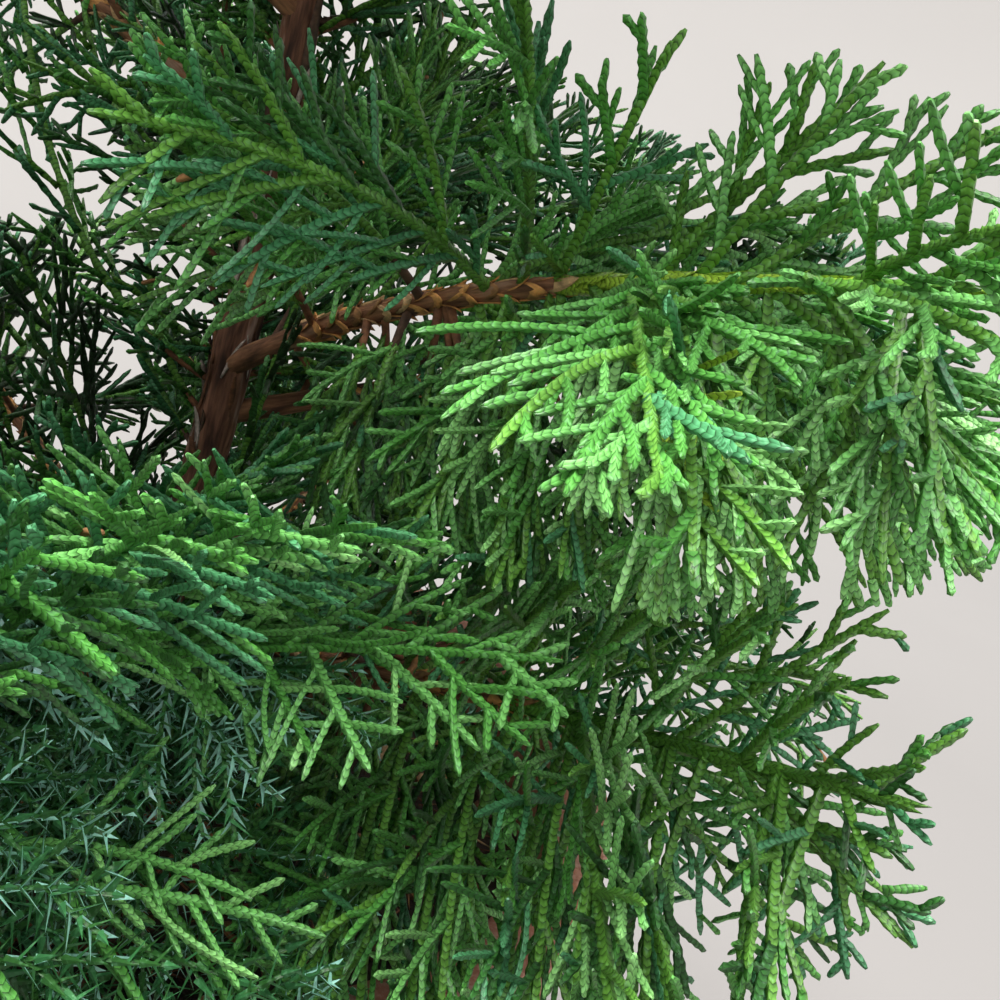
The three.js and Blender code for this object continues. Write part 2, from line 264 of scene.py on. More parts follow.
class Graph:
    """The node tree of one material."""

    def __init__(self, name: str) -> None:
        """Starts a material without nodes.

        Args:
            name: The material's name.
        """
        self.material = bpy.data.materials.new(name)
        self.material.use_nodes = True
        self.tree = self.material.node_tree
        self.tree.nodes.clear()

    def node(self, kind: str, settings: dict, inputs: dict, output: int | str = 0) -> Signal:
        """Adds a node of any kind.

        Args:
            kind: The node's type.
            settings: What is set first, such as an operation or a ramp's stops.
            inputs: Values or links of the sockets, by name or number.
            output: Which output to return.

        Returns:
            That output.
        """
        made = self.tree.nodes.new(kind)
        for key, value in settings.items():
            if key == "stops":
                self._set_stops(made.color_ramp, value)
            else:
                setattr(made, key, value)
        for key, value in inputs.items():
            socket = made.inputs[key]
            if isinstance(value, Signal):
                self.tree.links.new(value.socket, socket)
            else:
                socket.default_value = value
        return Signal(self, made.outputs[output] if len(made.outputs) else None)

    @staticmethod
    def _set_stops(ramp: bpy.types.ColorRamp, stops: Sequence[tuple]) -> None:
        """Sets a colour ramp's stops.

        Args:
            ramp: The ramp.
            stops: A position and a colour for each stop.
        """
        while len(ramp.elements) < len(stops):
            ramp.elements.new(0.5)
        for element, (position, colour) in zip(ramp.elements, stops):
            element.position = position
            element.color = (*colour, 1)

    def place(self, scale: Sequence[float] = (1, 1, 1), uv: bool = False) -> Signal:
        """Coordinates of the object, or of its own UV map, times a scale for each axis."""
        source = self.node("ShaderNodeTexCoord", {}, {}, "UV" if uv else "Object")
        return self.node("ShaderNodeMapping", {}, {"Vector": source, "Scale": tuple(scale)})

    def noise(self, where: Signal, scale: float, detail: float = 3, rough: float = 0.55) -> Signal:
        """Soft noise from 0 to 1, with so many finer layers of a given strength."""
        inputs = {"Vector": where, "Scale": scale, "Detail": detail, "Roughness": rough}
        return self.node("ShaderNodeTexNoise", {"noise_dimensions": "3D"}, inputs)

    def ramp(self, factor: Signal, stops: Sequence[tuple]) -> Signal:
        """Colours along a factor."""
        return self.node("ShaderNodeValToRGB", {"stops": stops}, {"Fac": factor}, "Color")

    def mask(self, factor: Signal, low: float, high: float) -> Signal:
        """A share that rises from 0 to 1 between two values of a factor."""
        inputs = {"Value": factor, "From Min": low, "From Max": high}
        return self.node("ShaderNodeMapRange", {"clamp": True}, inputs)

    def blend(self, share: Signal | float, first: Signal | tuple, second: Signal | tuple) -> Signal:
        """Mixes two colours by the second one's share."""
        return self._mix("MIX", share, first, second)

    def darken(self, share: Signal | float, first: Signal | tuple, second: Signal | tuple) -> Signal:
        """Multiplies one colour by another, by a share."""
        return self._mix("MULTIPLY", share, first, second)

    def _mix(self, way: str, share: Signal | float, *colours: Signal | tuple) -> Signal:
        """Adds a Mix node for two colours."""
        first, second = (value if isinstance(value, Signal) else (*value, 1) for value in colours)
        settings = {"data_type": "RGBA", "blend_type": way}
        return self.node("ShaderNodeMix", settings, {0: share, 6: first, 7: second}, 2)

    def bump(self, height: Signal, strength: float, distance: float) -> Signal:
        """A surface normal from a height, which stands out by the distance where it is 1."""
        inputs = {"Height": height, "Strength": strength, "Distance": distance}
        return self.node("ShaderNodeBump", {}, inputs)

    def finish(self, inputs: dict) -> bpy.types.Material:
        """Adds the surface shader and the output.

        Args:
            inputs: Values or links of the surface's sockets, by name.

        Returns:
            The finished material.
        """
        surface = self.node("ShaderNodeBsdfPrincipled", {}, inputs)
        self.node("ShaderNodeOutputMaterial", {}, {"Surface": surface})
        return self.material


def shaded(colour: tuple[float, float, float], times: float) -> tuple[float, ...]:
    """The colour made darker or lighter by a factor."""
    return tuple(min(value * times, 1.0) for value in colour)


# How light a leaf is along its mottling, and what colours a scale is multiplied by from root to tip:
# painted shade, darkest at the root where the scale before overlaps it
MOTTLING = ((0.36, 0.72), (0.5, 1.06), (0.64, 1.42))
PAINTED_SCALE_SHADE = (
    (0.0, (0.10, 0.14, 0.09)),
    (0.26, (0.66, 0.70, 0.63)),
    (0.66, (1, 1, 1)),
    (0.97, (1, 1, 0.92)),
)


@dataclass(frozen=True)
class LeafFinish:
    """Scale leaves or needles of one tone: waxy, mottled, with painted shade where a scale begins and pale
    flecks that are partly waxy bloom and partly painted glints.
    """

    tone: Tone
    roughness: float = 0.43
    gloss: float = 0.42
    # Colour of pale flecks: partly the leaves' waxy bloom, partly painted glints of light on the scales
    bloom_and_glint: tuple[float, float, float] = (0.32, 0.54, 0.38)

    def make(self) -> bpy.types.Material:
        """Builds the material."""
        graph = Graph(f"leaves {self.tone.name.lower()}")
        where = graph.place()
        fine = graph.noise(where, 1000, 1)
        broad = graph.noise(where, 60, 1)
        scale = self._scale(graph)
        stops = [(place, shaded(self.tone.value, times)) for place, times in MOTTLING]
        mottled = graph.ramp(fine * 0.45 + broad * 0.55, stops)
        # painted shade: each scale's colour is darkened towards its root
        with_scale_shade = graph.darken(1.0, mottled, graph.ramp(scale, PAINTED_SCALE_SHADE))
        # pale flecks on the fine noise: partly waxy bloom, partly painted glints
        bloom_and_glint_share = graph.mask(fine, 0.58, 0.68) * 0.17
        inputs = {
            "Base Color": graph.blend(bloom_and_glint_share, with_scale_shade, self.bloom_and_glint),
            "Roughness": self.roughness + (fine - 0.5) * 0.4,
            "Normal": graph.bump(scale, 0.9, 0.5 * MM),
            "Specular IOR Level": self.gloss,
        }
        return graph.finish(inputs)

    @staticmethod
    def _scale(graph: Graph) -> Signal:
        """How far along its scale leaf a place lies, from 0 to 1, with pointed tips."""
        along = graph.node("ShaderNodeSeparateXYZ", {}, {"Vector": graph.place(uv=True)}, "Y")
        across = graph.node("ShaderNodeSeparateXYZ", {}, {"Vector": graph.place(uv=True)}, "X")
        off = graph.node("ShaderNodeMath", {"operation": "ABSOLUTE"}, {0: across - 0.5})
        return graph.node("ShaderNodeMath", {"operation": "FRACT"}, {0: along + off * 0.7})


@dataclass(frozen=True)
class DryFinish:
    """Dead wood, dried scales and litter of one tone: dull, streaked and uneven."""

    tone: Tone
    spread: float = 0.5
    scale: float = 420
    roughness: float = 0.85

    def make(self) -> bpy.types.Material:
        """Builds the material."""
        graph = Graph(f"dry {self.tone.name.lower()}")
        streak = graph.noise(graph.place((1, 0.4, 1.6)), self.scale, 4, 0.6)
        dull = self.tone.value
        dark, light = shaded(dull, 1 - self.spread), shaded(dull, 1 + self.spread)
        stops = [(0.32, dark), (0.5, dull), (0.68, light)]
        normal = graph.bump(streak, 0.5, 0.4 * MM)
        rough = self.roughness + (streak - 0.5) * 0.2
        inputs = {"Base Color": graph.ramp(streak, stops), "Roughness": rough, "Normal": normal}
        return graph.finish(inputs)


@dataclass(frozen=True)
class BarkFinish:
    """Stringy red-brown bark with silver-grey flakes, stretched along the limb."""

    name: str
    uv: bool
    along: float = 0.1
    red: tuple[float, float, float] = (0.185, 0.080, 0.047)
    deep: tuple[float, float, float] = (0.045, 0.019, 0.012)
    warm: tuple[float, float, float] = (0.340, 0.160, 0.095)
    silver: tuple[float, float, float] = (0.440, 0.365, 0.330)

    def make(self) -> bpy.types.Material:
        """Builds the material."""
        graph = Graph(self.name)
        fibre = graph.noise(self._place(graph, 1), 850, 4, 0.65)
        strip = graph.noise(self._place(graph, 1.7), 230, 3, 0.6)
        patch = graph.noise(self._place(graph, 3.5), 70, 3, 0.5)
        base = graph.ramp(strip, [(0.32, self.deep), (0.47, self.red), (0.64, self.warm)])
        lined = graph.darken(0.85, base, graph.ramp(fibre, [(0.36, (0.34, 0.32, 0.31)), (0.6, (1, 1, 1))]))
        share = graph.mask(patch * 0.55 + strip * 0.45, 0.52, 0.60)
        colour = graph.blend(share * 0.8, lined, self.silver)
        rough = 0.9 - share * 0.25
        normal = graph.bump(fibre * 0.5 + strip * 0.5, 0.9, 0.9 * MM)
        return graph.finish({"Base Color": colour, "Roughness": rough, "Normal": normal})

    def _place(self, graph: Graph, times: float) -> Signal:
        """Coordinates that are squeezed along the limb."""
        squeezed = self.along * times
        return graph.place((1, squeezed, 1) if self.uv else (1, 1, squeezed), self.uv)


@dataclass(frozen=True)
class ClayFinish:
    """Unglazed red clay with chalky bloom and damp, darker patches."""

    name: str = "red clay"
    clay: tuple[float, float, float] = (0.440, 0.175, 0.098)
    damp: tuple[float, float, float] = (0.255, 0.098, 0.060)
    fired: tuple[float, float, float] = (0.520, 0.235, 0.140)
    chalk: tuple[float, float, float] = (0.720, 0.610, 0.540)

    def make(self) -> bpy.types.Material:
        """Builds the material."""
        graph = Graph(self.name)
        where = graph.place()
        cloud = graph.noise(where, 11, 5, 0.6)
        grain = graph.noise(where, 620, 3, 0.6)
        scuff = graph.noise(graph.place((1, 1, 0.8)), 30, 6, 0.7)
        base = graph.ramp(cloud, [(0.32, self.damp), (0.56, self.clay), (0.75, self.fired)])
        share = graph.mask(scuff * 0.7 + grain * 0.3, 0.50, 0.64)
        chalky = graph.blend(share * 0.4, base, self.chalk)
        speck = graph.ramp(grain, [(0.35, (0.62, 0.60, 0.58)), (0.5, (1, 1, 1))])
        colour = graph.darken(0.6, chalky, speck)
        normal = graph.bump(grain * 0.6 + scuff * 0.4, 0.45, 0.6 * MM)
        return graph.finish({"Base Color": colour, "Roughness": 0.8 + share * 0.15, "Normal": normal})


@dataclass(frozen=True)
class SoilFinish:
    """Dark, crumbly potting soil."""

    name: str = "potting soil"
    wet: tuple[float, float, float] = (0.006, 0.004, 0.003)
    brown: tuple[float, float, float] = (0.036, 0.021, 0.013)
    dry: tuple[float, float, float] = (0.120, 0.072, 0.042)

    def make(self) -> bpy.types.Material:
        """Builds the material."""
        graph = Graph(self.name)
        where = graph.place()
        crumb = graph.noise(where, 260, 6, 0.7)
        patch = graph.noise(where, 24, 3)
        stops = [(0.3, self.wet), (0.5, self.brown), (0.72, self.dry)]
        colour = graph.ramp(crumb * 0.7 + patch * 0.3, stops)
        normal = graph.bump(crumb, 1, 3 * MM)
        return graph.finish({"Base Color": colour, "Roughness": 0.98 - patch * 0.1, "Normal": normal})


@dataclass(frozen=True)
class FloorFinish:
    """A plain pale floor with the faintest clouding, paler far from the pot, where less light falls."""

    name: str = "pale floor"
    near: tuple[float, float, float] = (0.178, 0.170, 0.165)
    far: tuple[float, float, float] = (0.330, 0.316, 0.306)
    near_radius: float = 0.9
    far_radius: float = 4.8

    def make(self) -> bpy.types.Material:
        """Builds the material."""
        graph = Graph(self.name)
        cloud = graph.noise(graph.place(), 2.2, 3)
        distance = graph.node("ShaderNodeVectorMath", {"operation": "LENGTH"}, {0: graph.place()}, "Value")
        away = graph.mask(distance, self.near_radius, self.far_radius)
        colour = graph.blend(away + (cloud - 0.5) * 0.1, self.near, self.far)
        return graph.finish({"Base Color": colour, "Roughness": 0.9})


class Palette:
    """The plant's materials, one for each tone."""

    def __init__(self) -> None:
        """Builds them all."""
        self.materials = [
            LeafFinish(tone).make() if tone in LIVE_TONES else DryFinish(tone).make() for tone in TONES
        ]


class SmallShapes:
    """Gathers many small shapes and makes one joined mesh of them."""

    def __init__(self) -> None:
        """Starts with nothing."""
        self.points: list[np.ndarray] = []
        self.corners: list[np.ndarray] = []
        self.sizes: list[np.ndarray] = []
        self.slots: list[np.ndarray] = []
        self.places: list[np.ndarray] = []
        self.smooth: list[np.ndarray] = []
        self.count = 0

    def _add_points(self, points: np.ndarray) -> int:
        """Adds points.

        Args:
            points: The points, any shape ending in three.

        Returns:
            The number of the first of them.
        """
        first = self.count
        flat = points.reshape(-1, 3)
        self.points.append(flat.astype(np.float32))
        self.count += len(flat)
        return first

    def _add_faces(self, faces: np.ndarray, slots: np.ndarray, places: np.ndarray | None = None) -> None:
        """Adds faces that all have the same number of corners.

        Args:
            faces: The numbers of their corners.
            slots: The material slot of each face.
            places: Where each corner lies on a scale leaf. Faces without these are shaded flat.
        """
        flat = np.full((faces.size, 2), 0.5) if places is None else places.reshape(-1, 2)
        self.places.append(flat.astype(np.float32))
        self.smooth.append(np.full(len(faces), places is not None))
        self.corners.append(faces.astype(np.int32).ravel())
        self.sizes.append(np.full(len(faces), faces.shape[1], np.int32))
        self.slots.append(slots.astype(np.int32))

    def triangles(self) -> int:
        """How many triangles the faces come to."""
        return int(sum((size - 2).sum() for size in self.sizes))

    def tubes(
        self,
        paths: np.ndarray,
        radii: np.ndarray,
        side: np.ndarray,
        slots: np.ndarray | int,
        sides: int = 4,
        bulge: float = 0.0,
        flat: float = 1.0,
    ) -> None:
        """Adds closed tubes with the same number of rings, whose rings can swell in turn.

        Args:
            paths: The rings' centres, tubes by rings by three.
            radii: The rings' radii, tubes by rings.
            side: A direction across each tube.
            slots: The material slot of each tube, or one for all.
            sides: How many sides a ring has.
            bulge: How far rings swell in turn, as a share of the radius.
            flat: How thick a ring is for its width.
        """
        tubes, rings = paths.shape[:2]
        if not tubes:
            return
        tangent = unit(np.gradient(paths, axis=1))
        across = unit(square_to(side[:, None, :], tangent))
        over = np.cross(tangent, across)
        angles = 2 * np.pi * np.arange(sides) / sides
        swell = np.where(np.arange(rings) % 2, -bulge, bulge)
        wide = (radii * (1 + swell))[:, :, None, None]
        deep = (radii * (1 - swell) * flat)[:, :, None, None]
        if sides == 3:
            deep = wide * flat
        around = across[:, :, None, :] * wide * np.cos(angles)[None, None, :, None]
        around = around + over[:, :, None, :] * deep * np.sin(angles)[None, None, :, None]
        first = self._add_points(paths[:, :, None, :] + around)
        ring = np.arange(rings - 1)[:, None] * sides
        here = np.arange(sides)[None, :]
        after = (here + 1) % sides
        quads = np.stack([ring + here, ring + after, ring + sides + after, ring + sides + here], -1)
        quads = quads.reshape(1, -1, 4)
        starts = first + (np.arange(tubes) * rings * sides)[:, None]
        each = np.broadcast_to(np.asarray(slots), (tubes,))
        steps = np.linalg.norm(np.diff(paths, axis=1), axis=2)
        along = np.concatenate([np.zeros((tubes, 1)), np.cumsum(steps, axis=1)], axis=1) / SCALE_LENGTH
        low = along[:, :-1, None] + 0.5 * (here % 2)
        high = along[:, 1:, None] + 0.5 * (here % 2)
        across = np.broadcast_to(np.array([0.0, 1.0, 1.0, 0.0]), low.shape + (4,))
        places = np.stack([across, np.stack([low, low, high, high], -1)], -1)
        walls = (quads + starts[:, :, None]).reshape(-1, 4)
        self._add_faces(walls, np.repeat(each, quads.shape[1]), places)
        foot = starts + np.arange(sides)[::-1]
        tip = starts + (rings - 1) * sides + np.arange(sides)
        self._add_faces(np.concatenate([foot, tip]), np.concatenate([each, each]))

    def blades(
        self,
        base: np.ndarray,
        direction: np.ndarray,
        face: np.ndarray,
        length: np.ndarray,
        width: float,
        thick: float,
        slots: tuple[np.ndarray, np.ndarray],
    ) -> None:
        """Adds pointed blades of four triangles each.

        Args:
            base: Where each starts.
            direction: Where each points.
            face: Where each one's upper face looks.
            length: Their lengths.
            width: Their width at the base.
            thick: Their thickness at the base.
            slots: The material slots of the upper faces and of the others.
        """
        face = unit(square_to(face, direction))
        side = np.cross(direction, face)
        left = base + side * width / 2 + face * thick / 2
        right = base - side * width / 2 + face * thick / 2
        under = base - face * thick / 2
        point = base + direction * length[:, None]
        first = self._add_points(np.stack([left, right, under, point], 1))
        starts = first + 4 * np.arange(len(base))[:, None]
        self._add_faces(starts + np.array([0, 3, 1]), slots[0])
        for corners in ([1, 3, 2], [2, 3, 0], [0, 1, 2]):
            self._add_faces(starts + np.array(corners), slots[1])

    def stem_scales(
        self, centres: np.ndarray, radii: np.ndarray, slots: np.ndarray, lengths: np.ndarray
    ) -> None:
        """Adds pairs of long, pointed scales that lie on a stem, each pair across the last.

        Args:
            centres: Points along the stem, a pair at each.
            radii: The stem's radii there.
            slots: The material slot of each scale.
            lengths: The length of each scale.
        """
        tangent = np.repeat(unit(np.gradient(centres, axis=0)), 2, axis=0)
        side = unit(np.cross(tangent, UP))
        turn = np.arange(len(tangent)) * np.pi + np.repeat(np.arange(len(centres)) * 1.2, 2)
        out = turned(side, np.cross(tangent, side), turn)
        girth = np.repeat(radii, 2)[:, None]
        share = np.linspace(0, 1, 6)
        lift = girth * (0.62 + 0.42 * share + 0.55 * share**4)
        along = tangent[:, None] * (share * lengths[:, None])[..., None]
        paths = np.repeat(centres, 2, axis=0)[:, None] + along + out[:, None] * lift[..., None]
        widths = girth * np.array([0.80, 0.95, 0.88, 0.66, 0.36, 0.05])
        self.tubes(paths, widths, np.cross(tangent, out), slots, flat=0.20)

    def make(self, name: str, palette: Palette) -> bpy.types.Object:
        """Makes the joined mesh.

        Args:
            name: The piece's name.
            palette: The materials.

        Returns:
            The new object.
        """
        points = np.concatenate(self.points)
        corners = np.concatenate(self.corners)
        sizes = np.concatenate(self.sizes)
        used, slots = np.unique(np.concatenate(self.slots), return_inverse=True)
        starts = np.concatenate([[0], np.cumsum(sizes)[:-1]]).astype(np.int32)
        mesh = bpy.data.meshes.new(name)
        mesh.vertices.add(len(points))
        mesh.vertices.foreach_set("co", points.ravel())
        mesh.loops.add(len(corners))
        mesh.loops.foreach_set("vertex_index", corners)
        mesh.polygons.add(len(sizes))
        mesh.polygons.foreach_set("loop_start", starts)
        mesh.polygons.foreach_set("material_index", slots.astype(np.int32))
        mesh.polygons.foreach_set("use_smooth", np.concatenate(self.smooth))
        mesh.uv_layers.new(name="scales").data.foreach_set("uv", np.concatenate(self.places).ravel())
        for index in used:
            mesh.materials.append(palette.materials[index])
        mesh.update(calc_edges=True)
        piece = bpy.data.objects.new(name, mesh)
        bpy.context.scene.collection.objects.link(piece)
        return piece


def settle(piece: bpy.types.Object, slot: str, *nodes: str) -> None:
    """Makes a piece ride on the part and stand for nodes.

    Args:
        piece: The finished piece.
        slot: The record's material slot; not used.
        nodes: The nodes that it stands for.
    """
    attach(piece, ROOT)
    if nodes:
        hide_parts(*nodes)
    mesh = piece.data
    mesh.calc_loop_triangles()
    log.info("%s: %d triangles", piece.name, len(mesh.loop_triangles))


def begin(name: str, add: Callable, **settings: object) -> bpy.types.Object:
    """Adds a primitive and opens it in edit mode, all selected.

    Args:
        name: The piece's name.
        add: The operator that adds the primitive.
        settings: The operator's settings.

    Returns:
        The piece.
    """
    bpy.ops.object.select_all(action="DESELECT")
    add(**settings)
    piece = bpy.context.object
    piece.name = name
    piece.data.name = name
    bpy.ops.object.transform_apply(location=True, rotation=True, scale=True)
    bpy.ops.object.mode_set(mode="EDIT")
    bpy.ops.mesh.select_all(action="SELECT")
    return piece


def add_ring(rise: float, times: float) -> None:
    """Extrudes the selected edge or face upwards and scales it round the vertical axis."""
    bpy.ops.mesh.extrude_region_move(TRANSFORM_OT_translate={"value": (0, 0, rise)})
    bpy.ops.transform.resize(value=(times, times, 1), center_override=(0, 0, 0))


def dress(piece: bpy.types.Object, material: bpy.types.Material) -> None:
    """Shades a piece smooth all over and gives it its material."""
    for face in piece.data.polygons:
        face.use_smooth = True
    piece.data.materials.append(material)


def crown_radius(height: float) -> float:
    """The crown's radius at a height."""
    return CROWN_RADIUS * (1 - (height / CROWN_HEIGHT) ** CROWN_POWER)


def trunk_points(height: np.ndarray) -> np.ndarray:
    """The trunk's centre at each height.

    Args:
        height: Heights above the soil.

    Returns:
        Points in the frame.
    """
    sway = 3.5 * MM
    x = sway * (1 - np.cos(2 * np.pi * height / (300 * MM)))
    y = -sway * (1 - np.cos(2 * np.pi * height / (430 * MM)))
    return np.stack([x, y, SOIL_Z + height], -1)


def trunk_radius(height: np.ndarray | float) -> np.ndarray | float:
    """The trunk's radius at a height, with the flare at its foot."""
    return mixed(6.4 * MM, 1.5 * MM, height / TRUNK_HEIGHT) + 5 * MM * np.exp(-height / (13 * MM))


def soil_height(x: np.ndarray, y: np.ndarray) -> np.ndarray:
    """The height of the soil's surface at each place."""
    wave = 0.5 + 0.25 * np.sin(x / (23 * MM) + 1.3) + 0.25 * np.cos(y / (19 * MM) - 0.4)
    flat = np.clip((np.hypot(x, y) - 22 * MM) / (12 * MM), 0, 1)
    return SOIL_Z - SOIL_DIP * wave * flat


@dataclass(frozen=True)
class Spray:
    """Where one spray of the ribbon lies, and the space that it keeps to."""

    index: int
    angle: float
    half_angle: float
    middle: float
    half: float
    tilt: float
    start: float
    climb: float = 0.0
    rank: float = 0.0

    @property
    def number(self) -> str:
        """The two figures in its node's name."""
        return f"{self.index + 1:02d}"

    @property
    def reach(self) -> float:
        """The crown's radius at its height."""
        return crown_radius(self.middle)

    @property
    def root_radius(self) -> float:
        """The bough's radius at the trunk."""
        return min(3.3 * MM, 0.72 * trunk_radius(self.start))

    @property
    def tip_radius(self) -> float:
        """The bough's radius where the foliage begins."""
        return self.root_radius * 2.3 / 3.3

    def stem_radius(self, t: np.ndarray) -> np.ndarray:
        """The radius of the bough and of the stem that leads on, by shares of the whole arc."""
        inner = mixed(self.root_radius, self.tip_radius, np.clip(t / BOUGH_SHARE, 0, 1))
        return mixed(inner, GREEN_TIP, np.clip((t - BOUGH_SHARE) / (1 - BOUGH_SHARE), 0, 1))

    def middle_at(self, radial: np.ndarray | float, off: np.ndarray | float = 0.0) -> np.ndarray | float:
        """The middle height at distances from the trunk and at turns off the spray's own angle."""
        return self.middle + self.climb * off + self.tilt * (radial - SECTION_CENTRE * self.reach)

    def holds(self, points: np.ndarray, margin: float) -> np.ndarray:
        """Which points lie in the spray's space.

        Args:
            points: Points, any shape ending in three.
            margin: How far inside they have to be.

        Returns:
            Truth for each point.
        """
        radial = np.hypot(points[..., 0], points[..., 1])
        height = points[..., 2] - SOIL_Z
        off = np.arctan2(points[..., 1], points[..., 0]) - self.angle
        off = off - 2 * np.pi * np.round(off / (2 * np.pi))
        beside = (self.half_angle + MINGLE - np.abs(off)) * radial >= margin
        lowest = np.where(radial < RIM_INSIDE, SOIL_CLEARANCE, RIM_CLEARANCE)
        across = np.abs(radial / self.reach - SECTION_CENTRE) / (SECTION_REACH - margin / self.reach)
        over = np.abs(height - self.middle_at(radial, off)) / (self.half - margin)
        inside = across**SECTION_POWER + over**SECTION_POWER < 1
        return beside & (height > lowest + margin) & inside

    def stem(self, t: np.ndarray) -> np.ndarray:
        """Points on the arc of the bough and of the stem that leads on from it.

        Args:
            t: Shares of the whole arc, 0 at the trunk.

        Returns:
            Points in the frame.
        """
        first, second, third = (1 - t) ** 2, 2 * t * (1 - t), t * t
        elbow, tip = 0.5 * self.reach, STEM_REACH * self.reach
        radial = second * elbow + third * tip
        height = first * self.start + second * self.middle_at(elbow) + third * self.middle_at(tip)
        turn = self.angle + 0.1 * (2 * chance(self.index, 1) - 1) * third
        root = trunk_points(np.array(self.start))
        x = root[0] * first + radial * np.cos(turn)
        y = root[1] * first + radial * np.sin(turn)
        return np.stack([x, y, SOIL_Z + height], -1)


def spray_list() -> list[Spray]:
    """All the sprays in the order of their nodes: the skirt, the front and the ribbon."""
    turn = math.radians
    sprays = []
    for step in range(SKIRT_SPRAYS):
        middle = (60 + 10.6 * step) * MM
        angle = turn(15 + SKIRT_TURN * step)
        half = (33 + 7.5 * step) * MM
        sprays.append(Spray(step, angle, turn(SKIRT_TURN / 2), middle, half, 0.12, 0.4 * middle))
    front = [
        (turn(270.6), turn(29.4), 80 * MM, 58 * MM, 0.15, 30 * MM),
        (turn(321.3), turn(21.3), 90 * MM, 50 * MM, 0.35, 38 * MM),
        (turn(312), turn(22), 180 * MM, 37 * MM, 0.2, 121 * MM),
    ]
    for facts in front:
        sprays.append(Spray(len(sprays), *facts))
    for step in range(RIBBON_SPRAYS):
        turns = step * RIBBON_TURN / 360
        rank = step / (RIBBON_SPRAYS - 1)
        middle = (152 + 178 * turns - 8 * turns**2) * MM
        climb = (178 - 16 * turns) * MM / (2 * math.pi)
        start = middle - 0.24 * crown_radius(middle)
        half = mixed(56, 38, rank) * MM
        angle, width = turn(18 + RIBBON_TURN * step), turn(RIBBON_TURN / 2)
        sprays.append(Spray(len(sprays), angle, width, middle, half, 0.16, start, climb, rank))
    return sprays


@dataclass
class Twigs:
    """Many curved twigs: where each starts and points, its plane, its curve and its length."""

    base: np.ndarray
    direction: np.ndarray
    side: np.ndarray
    bend: np.ndarray
    length: np.ndarray

    def __len__(self) -> int:
        """How many there are."""
        return len(self.base)

    def at(self, share: np.ndarray) -> np.ndarray:
        """Points along each twig, by shares of its length, twigs by points."""
        along = (share * self.length[:, None])[..., None]
        return self.base[:, None] + self.direction[:, None] * along + self.bend[:, None] * along**2

    def tangent(self, share: np.ndarray) -> np.ndarray:
        """Directions along each twig, by shares of its length, twigs by points."""
        along = (share * self.length[:, None])[..., None]
        return unit(self.direction[:, None] + 2 * self.bend[:, None] * along)

    def points(self, share: float) -> np.ndarray:
        """One point on each twig, at the same share of its length."""
        return self.at(np.full((len(self), 1), share))[:, 0]

    def tips(self) -> np.ndarray:
        """The twigs' tips."""
        return self.points(1.0)

    def kept(self, keep: np.ndarray) -> "Twigs":
        """Only some of the twigs."""
        columns = (self.base, self.direction, self.side, self.bend, self.length)
        return Twigs(*(column[keep] for column in columns))

    def beyond(self, share: float) -> "Twigs":
        """The twigs' outer parts from a share of their length on."""
        direction = self.tangent(np.full((len(self), 1), share))[:, 0]
        return Twigs(self.points(share), direction, self.side, self.bend, self.length * (1 - share))

    @staticmethod
    def joined(parts: Sequence["Twigs"]) -> "Twigs":
        """All the twigs of several lots."""
        names = ("base", "direction", "side", "bend", "length")
        return Twigs(*(np.concatenate([getattr(part, name) for part in parts]) for name in names))


@dataclass
class Forks:
    """Where twigs fork off the ones that carry them, to the left and to the right in turn."""

    owner: np.ndarray
    along: np.ndarray
    base: np.ndarray
    forward: np.ndarray
    side: np.ndarray
    normal: np.ndarray

    def twigs(self, opening: np.ndarray, lift: np.ndarray, bend: np.ndarray, length: np.ndarray) -> Twigs:
        """The twigs that leave here.

        Args:
            opening: The angle of each to its carrier.
            lift: How far each stands out of its carrier's plane.
            bend: How each curves.
            length: The length of each.

        Returns:
            The twigs.
        """
        direction = turned(self.forward, self.side, opening)
        direction = unit(direction + self.normal * lift[:, None])
        side = unit(np.cross(self.normal, direction))
        return Twigs(self.base, direction, side, square_to(bend, direction), length)


def level_of(points: np.ndarray) -> np.ndarray:
    """How finely things at these places are made: 0 close, 1 middle, 2 away.

    Args:
        points: Places, things by three.

    Returns:
        A number for each.
    """
    gap = points - NEAR_PLACE
    distance = np.linalg.norm(gap, axis=-1)
    facing = (gap @ NEAR_WAY) / np.maximum(distance, 1e-9) > NEAR_SPREAD
    fairly_near = np.where(facing & (distance < MIDDLE_RANGE), 1, 2)
    return np.where(facing & (distance < CLOSE_RANGE), 0, fairly_near)


def clear_of_view(twigs: Twigs, nearest: float, low_nearest: float) -> np.ndarray:
    """Which twigs keep clear of the place that the near side faces.

    Args:
        twigs: The twigs.
        nearest: How near they may come to it.
        low_nearest: How near they may come low over the soil.

    Returns:
        Truth for each twig.
    """
    clear = np.ones(len(twigs), bool)
    for points in (twigs.base, twigs.tips()):
        limit = np.where(points[:, 2] < SOIL_Z + LOW_HEIGHT, low_nearest, nearest)
        clear &= np.linalg.norm(points - NEAR_PLACE, axis=-1) > limit
    return clear


def in_box(points: np.ndarray, overhang: float = OVERHANG) -> np.ndarray:
    """Which points lie in the box round all the solids, or no more than an overhang outside it."""
    low, high = (np.array(corner) for corner in CAD_BOX)
    return ((points > low - overhang) & (points < high + overhang)).all(-1)


